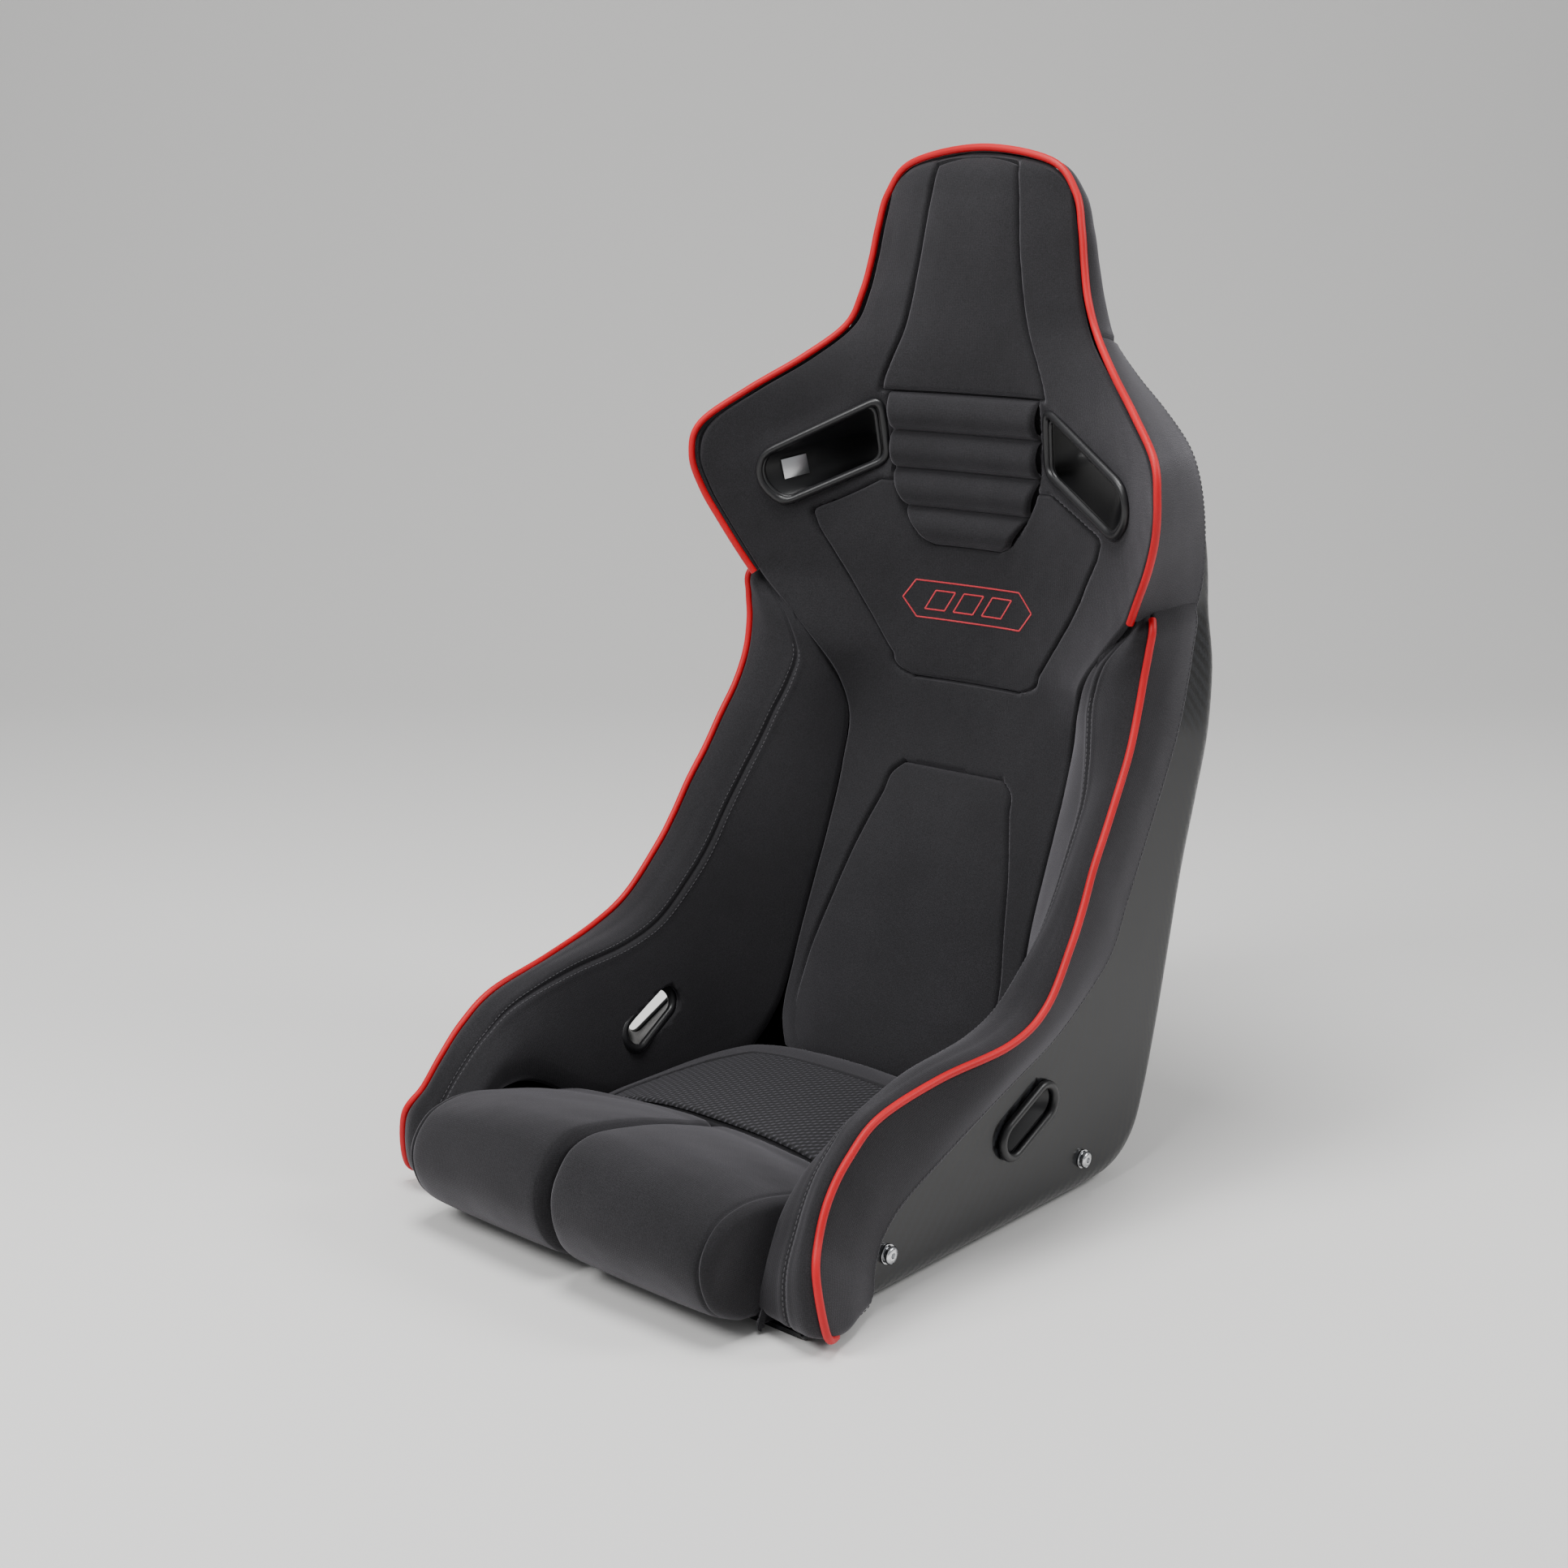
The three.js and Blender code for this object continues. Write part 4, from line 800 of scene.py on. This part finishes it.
def rounded(corners, radius=13, steps=7):
    """A closed outline with rounded corners."""
    corners = np.array(corners, float)
    outline = []
    for i, corner in enumerate(corners):
        ends = []
        for other in (corners[i - 1], corners[(i + 1) % len(corners)]):
            away = other - corner
            length = np.linalg.norm(away)
            ends.append(corner + away / length * min(radius, length * 0.45))
        for t in np.linspace(0, 1, steps):
            outline.append(ends[0] * (1 - t) ** 2 + corner * 2 * t * (1 - t) + ends[1] * t ** 2)
    return np.array(outline)


def grown(outline, distance):
    """A closed flat outline moved outwards."""
    ahead = np.roll(outline, -1, axis=0) - np.roll(outline, 1, axis=0)
    away = unit(np.column_stack([ahead[:, 1], -ahead[:, 0]]))
    if np.sum((outline - outline.mean(axis=0)) * away) < 0:
        away = -away
    return outline + away * distance


def at_depth(outline, y):
    """An [x, z] outline placed at a depth: one number, or one for each point."""
    return np.column_stack([outline[:, 0], np.zeros(len(outline)) + y, outline[:, 1]])


def outline_distance(outline, x, z):
    """Distance from a closed outline, below zero inside it."""
    start = outline
    step = np.roll(outline, -1, axis=0) - start
    spots = np.stack([x, z], axis=-1)[..., None, :]
    share = np.clip(((spots - start) * step).sum(-1) / (step ** 2).sum(-1), 0, 1)
    nearest = np.linalg.norm(spots - start - share[..., None] * step, axis=-1).min(axis=-1)
    rises = (start[:, 1] > spots[..., 1]) != ((start + step)[:, 1] > spots[..., 1])
    height = np.where(step[:, 1] == 0, 1e-9, step[:, 1])
    crossing = start[:, 0] + (spots[..., 1] - start[:, 1]) / height * step[:, 0]
    inside = (rises & (spots[..., 0] < crossing)).sum(axis=-1) % 2 == 1
    return np.where(inside, -nearest, nearest)


def back_cover():
    """The whole front cover of the back, with recesses for its pads and openings for the belts."""
    low, high = 64, 925
    along = np.linspace(low, high, 300)
    across = 2 * gathered(190) - 1
    z = along[:, None] + 0 * across
    half = look_up(BACK_EDGE, z)[..., 0] - 1.5
    x = across * half
    # Rows bow up towards the top, so that the last one follows the head's rounded crown.
    ridge, _ = wing_lines(HEAD_JOINT, len(WING) - 1)
    inner = np.column_stack([ridge[::-1, 0] - 2.5, ridge[::-1, 2] - 2.5])
    inner = inner[inner[:, 0] > 0]
    crown = np.interp(np.abs(x[-1]), inner[:, 0], inner[:, 1])
    height = z + np.clip((z - 850) / (high - 850), 0, 1) ** 2 * (crown - high)
    depth = back_front(x, height)
    mouth = rounded(HARNESS_FRONT)
    near = outline_distance(mouth, np.abs(x), height)
    share = np.clip(1 - near / 22, 0, 1) ** 2
    depth = depth + (rim_plane(x, height) + 0.5 - depth) * share
    rise = -np.max([recess(rows, x, height) for rows in (HEAD_PAD, CHANNEL_PAD, UPPER_PANEL,
                                                         LUMBAR_PAD)], axis=0)
    # The lumbar pad's outline fades towards the cushion.
    rise = rise * np.where(height < 200, np.clip((height - 110) / 90, 0, 1), 1)
    base = np.stack([x, depth, height], axis=-1)
    obj, _, _ = sewn("back_pad", base, (0, -1, 0), rise, radius=5, edges="lrt", seed=21)
    cutter = grown(mouth, 0.6)
    tool = prism([at_depth(cutter, 60), at_depth(cutter, 300)])
    carved(obj, tool, mirror_copy(tool, "cutter"))
    return obj


def set_in_pad(name, rows, crown, seed, columns=70, lines=90, bow=0.0, extra=None, fade=None):
    """A pad that fills its recess: crowned, and rolled into the seam all round."""
    low, high = rows[0][0], rows[-1][0]
    z = low + (high - low) * gathered(lines)[:, None] + 0 * np.zeros(columns)
    across = 2 * gathered(columns) - 1
    share = (z - low) / (high - low)
    x = across * (look_up(rows, z)[..., 0] - 0.4)
    height = z + bow * share ** 8 * (1 - np.abs(across) ** 2)
    base = np.stack([x, back_front(x, height), height], axis=-1)
    puff = (1 - np.abs(across) ** 4) * np.clip(1 - np.abs(2 * share - 1) ** 6, 0, 1)
    rise = -1.0 + crown * puff + (extra(x, height) if extra else 0.0)
    if fade is not None:
        rise = rise + np.clip(1 - (height - low) / fade, 0, 1) * 1.0
    return sewn(name, base, (0, -1, 0), rise + 0 * x, radius=5.5, depth=5, seed=seed, sway=0.35)


def head_centre():
    return set_in_pad("head_pad", HEAD_PAD, 3.2, 31, bow=9)


def channel_centre():
    """Four horizontal rolls with sewn lines between them."""
    low, high = CHANNEL_PAD[0][0], CHANNEL_PAD[-1][0]
    pitch = (high - low) / 4

    def rolls(x, z):
        place = (z - low) / pitch
        nearest = np.abs(place - np.round(place)) * pitch
        inner = (place > 0.5) & (place < 3.5)
        return (9.0 * np.abs(np.sin(place * np.pi)) ** 0.8
                - np.where(inner, crease(nearest, 3.2, 3.0), 0))
    return set_in_pad("channel_pad", CHANNEL_PAD, 1.0, 32, lines=130, extra=rolls)


def upper_panel():
    def under_channel(x, z):
        return -recess(CHANNEL_PAD, x, z, depth=7.0)
    return set_in_pad("upper_back_panel", UPPER_PANEL, 2.6, 33, columns=120, lines=110,
                      extra=under_channel)


def lumbar_centre():
    return set_in_pad("lumbar_pad", LUMBAR_PAD, 5.0, 34, columns=100, lines=110, fade=90)

# ---------------------------------------------------------------- the shell and its openings


def shell_face():
    """Outside of the composite shell: straight sides, a round corner and a slightly bulged floor."""
    position = np.linspace(0, len(SHELL) - 1, 6 * (len(SHELL) - 1) + 1)
    rim_y, rim_z, keel_y, keel_z, half = (column[:, None] for column in blend_rows(SHELL, position).T)
    keel_z = np.maximum(keel_z, 0)
    half = np.minimum(half, SHELL_HALF_WIDTH)
    depth = np.hypot(keel_y - rim_y, keel_z - rim_z)
    corner = np.min([np.full_like(depth, SHELL_CORNER), depth * 0.6, half * 0.8], axis=0)
    is_back = np.clip((keel_z - 4) / 90, 0, 1)
    side = np.linspace(0, 1, 12)[:-1]
    turn = np.linspace(0, np.pi / 2, 13)
    floor = np.linspace(1, 0, 26)[1:]
    x = np.concatenate([half + 0 * side, half - corner + corner * np.cos(turn),
                        (half - corner) * floor], axis=1)
    down = np.concatenate([(depth - corner) * side, depth - corner + corner * np.sin(turn),
                           depth + BACK_BULGE * is_back * (1 - floor ** 2)], axis=1)
    y = rim_y + (keel_y - rim_y) / depth * down
    z = rim_z + (keel_z - rim_z) / depth * down
    one_side = np.stack([x, y, z], axis=-1)
    return np.concatenate([one_side, flipped(one_side[:, -2::-1])], axis=1)


def drill(place, radius=4.6, depth=60):
    """A round cutter along X through a side of the shell."""
    bpy.ops.object.select_all(action="DESELECT")
    bpy.ops.mesh.primitive_cylinder_add(vertices=32, radius=radius * MM, depth=depth * MM,
                                        location=to_frame(place), rotation=(0, math.pi / 2, 0))
    return bpy.context.object


def shell():
    face = shell_face()
    if (face_normals(face) @ np.array((0, 1, -1.0))).mean() < 0:
        face = face[:, ::-1]
    obj = laid_grid("shell", face)
    modified(obj, "SOLIDIFY", thickness=SHELL_WALL * MM, offset=-1, use_even_offset=False)
    way_out = grown(rounded(HARNESS_REAR), 4)
    cutters = []
    for sign in (1, -1):
        cutters.append(prism([at_depth(way_out, y) * (sign, 1, 1) for y in (262, 330)]))
        cutters.append(prism([lap_outline(share, 2.6) * (sign, 1, 1) for share in (0.72, 1.35)]))
        cutters += [drill((sign * SHELL_HALF_WIDTH, y, z)) for y, z in BOLTS.values()]
    carved(obj, *cutters)
    modified(obj, "BEVEL", width=0.8 * MM, segments=2, limit_method="ANGLE", angle_limit=1.0)
    return smoothed(obj)


def duct(mouth, way_out, wall=2.4):
    """A thin-walled duct between two outlines."""
    shares = np.linspace(0, 1, 10)[:, None, None]
    loops = mouth * (1 - shares) + way_out * shares
    wrapped = np.concatenate([loops, loops[:, :1]], axis=1)
    obj = closed_up(laid_grid("duct", wrapped))
    return modified(obj, "SOLIDIFY", thickness=wall * MM, offset=0)


def stepped_rim(name, outline, radius, inner_radius, inward):
    """A belt guide's rim: a round bead with a finer bead inside it."""
    middle = outline.mean(axis=0)
    inner = middle + (outline - middle) * (1 - inward / np.linalg.norm(outline - middle, axis=1).mean())
    return bead(name, outline, radius, closed=True), bead(name, inner, inner_radius, closed=True)


def harness_guide():
    outline = rounded(HARNESS_FRONT)
    mouth = at_depth(outline, rim_plane(outline[:, 0], outline[:, 1]))
    way_out = at_depth(rounded(HARNESS_REAR), HARNESS_EXIT)
    rims = stepped_rim("harness_guide_left", mouth - (0, 0.6, 0), 4.4, 2.2, 5.2)
    return smoothed(joined("harness_guide_left", *rims, duct(mouth, way_out)), 60)


def rear_face(x, z):
    """The outside of the shell's back."""
    table = [(keel_z, keel_y, half) for _, _, keel_y, keel_z, half in SHELL[8:]]
    values = look_up(table, z)
    return values[:, 0] + BACK_BULGE * (1 - (np.abs(x) / (values[:, 1] - SHELL_CORNER)) ** 2)


def rear_bezel():
    outline = grown(rounded(HARNESS_REAR), 4)
    path = at_depth(outline, rear_face(outline[:, 0], outline[:, 1]) + 2.4)
    return bead("harness_bezel_rear_left", path, 3.8, closed=True)


def lap_guide():
    rims = stepped_rim("lap_belt_guide_left", lap_outline(-0.16, 0.6), 4.4, 2.2, 3.4)
    pipe = duct(lap_outline(-0.15, 0), lap_outline(0.97, 0))
    return smoothed(joined("lap_belt_guide_left", *rims, pipe), 60)


def lap_outer_bezel():
    middle = lap_outline(1, 2) + (3.4, 0, 0)
    return bead("lap_belt_bezel_outer_left", middle, 4.2, closed=True)


def tag_plate():
    """A blank nameplate with a fine raised border, on the right-hand guide's outer wall."""
    rim = np.array((-223, rim_plane(223, 645), 645.0))
    along = unit(np.array((-157.5, HARNESS_EXIT, 672.0)) - rim)
    up = unit(np.array((0, 0, 1.0)) - along * along[2])
    facing = np.cross(along, up)
    bpy.ops.object.select_all(action="DESELECT")
    bpy.ops.mesh.primitive_cube_add(size=1)
    obj = named(bpy.context.object, "tag_plate")
    bpy.ops.object.mode_set(mode="EDIT")
    bpy.ops.mesh.select_all(action="SELECT")
    bpy.ops.transform.resize(value=(28 * MM, 21 * MM, 1 * MM))
    bpy.ops.mesh.select_all(action="DESELECT")
    bpy.ops.object.mode_set(mode="OBJECT")
    for face in obj.data.polygons:
        face.select = abs(face.normal.z) > 0.9
    bpy.ops.object.mode_set(mode="EDIT")
    bpy.ops.mesh.select_mode(type="FACE")
    bpy.ops.mesh.inset(thickness=1.4 * MM)
    bpy.ops.mesh.inset(thickness=0.4 * MM, depth=-0.25 * MM)
    bpy.ops.object.mode_set(mode="OBJECT")
    middle = to_frame(rim + along * 36 + facing * 5)
    turn = Matrix((along, up, facing)).transposed().to_4x4()
    obj.matrix_world = Matrix.Translation(middle) @ turn
    only(obj)
    bpy.ops.object.transform_apply(location=True, rotation=True, scale=True)
    modified(obj, "BEVEL", width=0.3 * MM, segments=2, limit_method="ANGLE", angle_limit=0.9)
    return smoothed(obj, 40)


# ---------------------------------------------------------------- side mounts

WASHER_FACE = SHELL_HALF_WIDTH + 0.35


def turned_disc(name, radius, height, start, place, bevel):
    """A round part on the shell's side, from a distance outside it, with a rolled outer edge."""
    y, z = place
    bpy.ops.object.select_all(action="DESELECT")
    bpy.ops.mesh.primitive_cylinder_add(vertices=48, radius=radius * MM, depth=height * MM,
                                        location=to_frame((start + height / 2, y, z)),
                                        rotation=(0, math.pi / 2, 0))
    obj = named(bpy.context.object, name)
    bpy.ops.object.transform_apply(location=True, rotation=True, scale=True)
    outer = to_frame((start + height, y, z))[0]
    for edge in obj.data.edges:
        edge.select = all(abs(obj.data.vertices[i].co.x - outer) < 1e-6 for i in edge.vertices)
    bpy.ops.object.mode_set(mode="EDIT")
    bpy.ops.mesh.select_mode(type="EDGE")
    bpy.ops.mesh.bevel(offset=bevel * MM, segments=6)
    bpy.ops.object.mode_set(mode="OBJECT")
    return obj


def washer(place):
    obj = turned_disc("washer", 9, 1.6, WASHER_FACE, place, 0.4)
    carved(obj, drill((WASHER_FACE, *place)))
    return smoothed(obj, 40)


def button_screw(place):
    """A button-head socket screw; its shank goes through the shell into the welded nut."""
    face = WASHER_FACE + 1.95
    head = turned_disc("screw", 7.6, 4.8, face, place, 3.4)
    bpy.ops.object.select_all(action="DESELECT")
    bpy.ops.mesh.primitive_cylinder_add(vertices=6, radius=2.9 * MM, depth=6 * MM,
                                        location=to_frame((face + 4.8 + 0.4, *place)),
                                        rotation=(0, math.pi / 2, 0))
    socket = bpy.context.object
    carved(head, socket)
    shank = turned_disc("shank", 4, 20, face - 20, place, 0.01)
    return smoothed(joined("screw", head, shank), 35)


# ---------------------------------------------------------------- base cushion

def cushion_top(x, y):
    return look_up(CUSHION_TOP, y)[..., 0] - 24 * (np.abs(x) / 172) ** 2.6


def wrapped(name, loops, seed, sway=0.5):
    """A closed cushion through closed loops; its first and last loops shrink to a point."""
    rows = np.concatenate([loops, loops[:, :1]], axis=1)
    normals = face_normals(rows)
    centre = rows.mean(axis=(0, 1))
    if ((rows - centre) * normals).sum(-1).mean() < 0:
        normals = -normals
    lift = unevenness(rows, seed, 95, sway) + unevenness(rows, seed + 50, 24, 0.12)
    settled = np.clip((rows[..., 2] - CUSHION_BOTTOM - 1) / 20, 0, 1)
    lift = lift * settled
    lift[0] = lift[-1] = 0
    rows = rows + normals * lift[..., None]
    rows[:, -1] = rows[:, 0]
    return closed_up(laid_grid(name, rows))


def cushion_base():
    """The cushion's block: crowned on top, recessed for its insert, flat underneath."""
    low, high = -127, 80
    y = low + (high - low) * gathered(110)[:, None]
    half = look_up(CUSHION_HALF, y)[..., 0]
    across = 2 * gathered(130) - 1
    x = half * across
    ends = np.minimum(y - low, high - y) + 0 * x
    lowered = rolled(np.minimum((1 - np.abs(across)) * half, ends), 9)
    inner = np.min([look_up(INSERT_HALF, y)[..., 0] - np.abs(x), y + 124 + 0 * x, 34 - y + 0 * x], axis=0)
    insert = np.where(inner > 0, 6.0, rolled(-inner, 4) * 1.5)
    top = np.stack([x, y + 0 * x, cushion_top(x, y) - lowered - insert], axis=-1)
    under = np.linspace(1, -1, 24)
    under_x = half * under
    corner = rolled((1 - np.abs(under)) * half, 10)
    bottom = np.stack([under_x, y + 0 * under_x, CUSHION_BOTTOM + corner], axis=-1)
    loops = np.concatenate([top, bottom], axis=1)
    loops = np.concatenate([loops[:1] * 0 + loops[0].mean(axis=0), loops,
                            loops[:1] * 0 + loops[-1].mean(axis=0)])
    return wrapped("cushion_base", loops, 41)


def cushion_insert():
    """The ribbed panel that is set into the cushion."""
    low, high = -123, 33
    y = low + (high - low) * gathered(80)[:, None]
    across = 2 * gathered(110) - 1
    x = across * (look_up(INSERT_HALF, y)[..., 0] - 0.8)
    base = np.stack([x, y + 0 * x, cushion_top(x, y)], axis=-1)
    rise = -1.0 + 1.8 * (1 - np.abs(across) ** 4) + 0 * x
    return sewn("cushion_insert", base, (0, 0, 1), rise, radius=3.5, depth=4.5, seed=42, sway=0.4)


def thigh_roll():
    """A thigh roll: a stuffed roll with a drooping outer end, an end cap and a sewn cap seam."""
    ends = [(0.8, 0.0), (0.9, 0.35), (1.2, 0.62), (2.2, 0.82), (4, 0.9), (9, 0.97), (20, 1.0),
            (70, 1.0), (125, 0.985), (165, 0.962), (178, 0.945), (184, 0.925), (188.5, 0.88),
            (191, 0.8), (192, 0.62), (192.3, 0.35), (192.4, 0.0)]
    stops = np.array(ends)
    position = np.linspace(0, len(ends) - 1, 7 * (len(ends) - 1) + 1)
    x, scale = blend_rows(stops, position).T
    scale = np.clip(scale, 0, None)
    scale[[0, -1]] = 0
    outline = np.array(ROLL_OUTLINE, float)
    closed = np.concatenate([outline[-1:], outline, outline[:2]])
    section = blend_rows(closed, np.linspace(1, len(outline) + 1, 141)[:-1])
    section[:, 1] = np.maximum(section[:, 1], 6.6)
    top = section[:, 1] > CUSHION_BOTTOM + 2
    droop = np.where(top, 1 - 0.12 * (x[:, None] / 187) ** 2, 1.0)
    z = section[:, 1] * droop
    cap_seam = crease(x - 180, 0.022, 1.6) + crease(x - 6, 0.01, 2)
    size = (scale - cap_seam)[:, None] * (scale[:, None] > 0)
    y_all = ROLL_MIDDLE[0] + (section[:, 0] - ROLL_MIDDLE[0]) * size
    z_all = ROLL_MIDDLE[1] + (z - ROLL_MIDDLE[1]) * size
    loops = np.stack([x[:, None] + 0 * y_all, y_all, z_all], axis=-1)
    return wrapped("thigh_roll_left", loops, 43, sway=0.8)


# ---------------------------------------------------------------- embroidery

def on_face(obj, x, z):
    """Places and directions on the front of a piece, seen along +Y."""
    graph = bpy.context.evaluated_depsgraph_get()
    spots, normals = [], []
    for one_x, one_z in zip(x, z):
        origin = Vector((one_x * MM, -1.0, one_z * MM))
        hit, spot, normal, _ = obj.evaluated_get(graph).ray_cast(origin, Vector((0, 1, 0)))
        spots.append(np.array(spot) / MM - SEAT_OFFSET)
        normals.append(np.array(normal))
    return np.array(spots), np.array(normals)


def motif(panel):
    """A plain stitched motif: a long six-sided frame round three slanted bars, all in outline."""
    middle = 527
    lines = [[(-80, 0), (-64, 19), (64, 19), (80, 0), (64, -19), (-64, -19), (-80, 0)]]
    for left in (-54, -19, 16):
        lines.append([(left, -10), (left + 14, 10), (left + 38, 10), (left + 24, -10), (left, -10)])
    bits = []
    spacing, width = 0.95, 2.0
    for corners in lines:
        for (x0, z0), (x1, z1) in zip(corners[:-1], corners[1:]):
            length = math.hypot(x1 - x0, z1 - z0)
            count = int(length / spacing)
            share = (np.arange(count) + 0.5) / count
            x = x0 + (x1 - x0) * share
            z = middle + z0 + (z1 - z0) * share
            spots, normals = on_face(panel, x, z)
            across = np.array((-(z1 - z0), 0, x1 - x0)) / length
            ahead = across - normals * (normals @ across)[:, None]
            bits.append((spots, ahead, normals, np.full(len(spots), width)))
    spots, ahead, normals, widths = (np.concatenate(part) for part in zip(*bits))
    return thread_bits("embroidery", spots, ahead, normals, widths, 1.15)

# ---------------------------------------------------------------- assembly

def both_sides(obj, name, body, material, slot, nodes=None, fill=None):
    """Finishes a left-hand piece and its mirror image on the right."""
    right = mirror_copy(obj, name + "_right")
    finished(obj, name + "_left", body, material, slot, nodes, fill)
    finished(right, name + "_right", body, material, slot, nodes, fill)


def sew_the_covers():
    on_frame = ("seat_frame", CLOTH, "jersey_cloth")
    obj, stitched = bolster()
    both_sides(obj, "side_bolster", *on_frame, fill=0.9)
    for number, (path, normals) in enumerate(stitched, start=1):
        row = stitches("stitching", path, normals)
        both_sides(row, "bolster_stitching_%d" % number, "seat_frame", THREAD, "jersey_cloth", ())
    both_sides(bolster_side_cover()[0], "bolster_gusset", *on_frame)
    both_sides(shoulder_side_cover()[0], "shoulder_gusset", *on_frame)
    finished(head_side_cover()[0], "head_gusset", *on_frame)
    stretches = ["back_pad_" + part for part in ("lower", "waist", "shoulders", "head")]
    finished(back_cover(), "back_pad", *on_frame, stretches, 0.85)
    for name, pad in (("head_pad", head_centre), ("channel_pad", channel_centre),
                      ("lumbar_pad", lumbar_centre)):
        finished(pad()[0], name, *on_frame, fill=0.85)
    panel = upper_panel()[0]
    finished(panel, "upper_back_panel", *on_frame, fill=0.8)
    finished(motif(panel), "embroidery", "seat_frame", RED_THREAD, "piping", ())


def sew_the_hems():
    _, _, ridge, hem, _ = bolster_lines()
    proud = (1.9, 0, 0)
    for name, lines in (("bolster", (ridge, hem)), ("shoulder", wing_lines(0, HEAD_JOINT - 0.04))):
        row = hem_line(*lines, proud)
        both_sides(row, name + "_hem_stitching", "seat_frame", THREAD, "jersey_cloth", ())


def lay_the_piping():
    _, _, ridge, _, _ = bolster_lines()
    # The piping ends where the bolster's last station tucks in behind the shoulder.
    shown = ridge[2:2 - ROWS_PER_STATION]
    both_sides(bead("bead", shown, PIPING_RADIUS), "piping_lower", "seat_frame", RED, "piping")
    ridge, _ = wing_lines(0, 2 * (len(WING) - 1))
    finished(bead("bead", ridge, PIPING_RADIUS), "piping_upper", "seat_frame", RED, "piping")


def fit_the_shell():
    finished(shell(), "shell", "seat_frame", TWILL, "composite_shell",
             ["shell_" + part for part in ("seat", "waist", "shoulders", "head")])
    for name, piece in (("harness_guide", harness_guide()), ("harness_bezel_rear", rear_bezel()),
                        ("lap_belt_guide", lap_guide()), ("lap_belt_bezel_outer", lap_outer_bezel())):
        both_sides(piece, name, "seat_frame", PLASTIC, "moulded_plastic")
    finished(tag_plate(), "tag_plate", "seat_frame", PLATE, "nameplate")
    for end, place in BOLTS.items():
        both_sides(washer(place), "mount_washer_" + end, "seat_frame", CHROME, "bright_fastener")
        both_sides(button_screw(place), "mount_bolt_" + end, "seat_frame", CHROME, "bright_fastener")
    for name, material in (("mount_plate_left", STEEL), ("mount_plate_right", STEEL),
                           ("cushion_tape_front", TAPE), ("cushion_tape_rear", TAPE)):
        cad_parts[name].material_slots[0].material = material


def fill_the_cushion():
    finished(cushion_base(), "cushion_base", "seat_cushion", CLOTH, "jersey_cloth", fill=0.85)
    finished(cushion_insert()[0], "cushion_insert", "seat_cushion", WEAVE, "woven_insert", fill=0.85)
    both_sides(thigh_roll(), "thigh_roll", "seat_cushion", CLOTH, "jersey_cloth", fill=0.85)


# ---------------------------------------------------------------- studio

AZIMUTH = math.radians(41.79)
CAMERA_PLACE = (1.395, -1.5959, 0.915)


def studio():
    """A pale floor that sweeps up behind the seat, soft lamps and a pale sky."""
    ahead = np.array((-math.sin(AZIMUTH), math.cos(AZIMUTH), 0))
    side = np.array((math.cos(AZIMUTH), math.sin(AZIMUTH), 0))
    turn = np.linspace(0, math.pi / 2, 24)
    profile = [(-6000, 0), (0, 0), (2200, 0)]
    profile += [(2200 + 1800 * math.sin(t), 1800 - 1800 * math.cos(t)) for t in turn[1:]]
    profile.append((4000, 6000))
    rows = np.array([[ahead * out + side * x + (0, -SEAT_OFFSET[1], up) for x in (-9000, 0, 9000)]
                     for out, up in profile])
    floor = smoothed(laid_grid("floor", rows), 80)
    floor.data.materials.append(new_material("studio_paper", Base_Color=colour("#e9e8e6"),
                                             Roughness=0.85))
    world = bpy.data.worlds.new("studio")
    bpy.context.scene.world = world
    world.use_nodes = True
    sky = world.node_tree.nodes["Background"]
    sky.inputs["Color"].default_value = colour("#f4f5f7")
    sky.inputs["Strength"].default_value = 0.42
    lamps = [("key", (-0.7, -2.3, 2.4), (0, 0, 0.5), 1.3, 70),
             ("right", (2.0, 1.3, 1.9), (0.2, 0, 0.6), 1.1, 38),
             ("top", (0.05, -0.5, 2.8), (0, 0, 0.4), 1.1, 58)]
    for name, place, target, size, power in lamps:
        light = bpy.data.lights.new(name, "AREA")
        light.shape = "DISK"
        light.size = size
        light.energy = power
        lamp = bpy.data.objects.new(name, light)
        bpy.context.collection.objects.link(lamp)
        lamp.location = place
        lamp.rotation_euler = (Vector(target) - Vector(place)).to_track_quat("-Z", "Y").to_euler()


def camera():
    lens = bpy.data.cameras.new("camera")
    lens.lens = 53.55
    lens.sensor_width = 36
    lens.clip_end = 50
    obj = bpy.data.objects.new("camera", lens)
    bpy.context.collection.objects.link(obj)
    obj.location = CAMERA_PLACE
    obj.rotation_euler = (math.radians(76.02), 0, AZIMUTH)
    bpy.context.scene.camera = obj


camera()
sew_the_covers()
sew_the_hems()
lay_the_piping()
fit_the_shell()
fill_the_cushion()
studio()
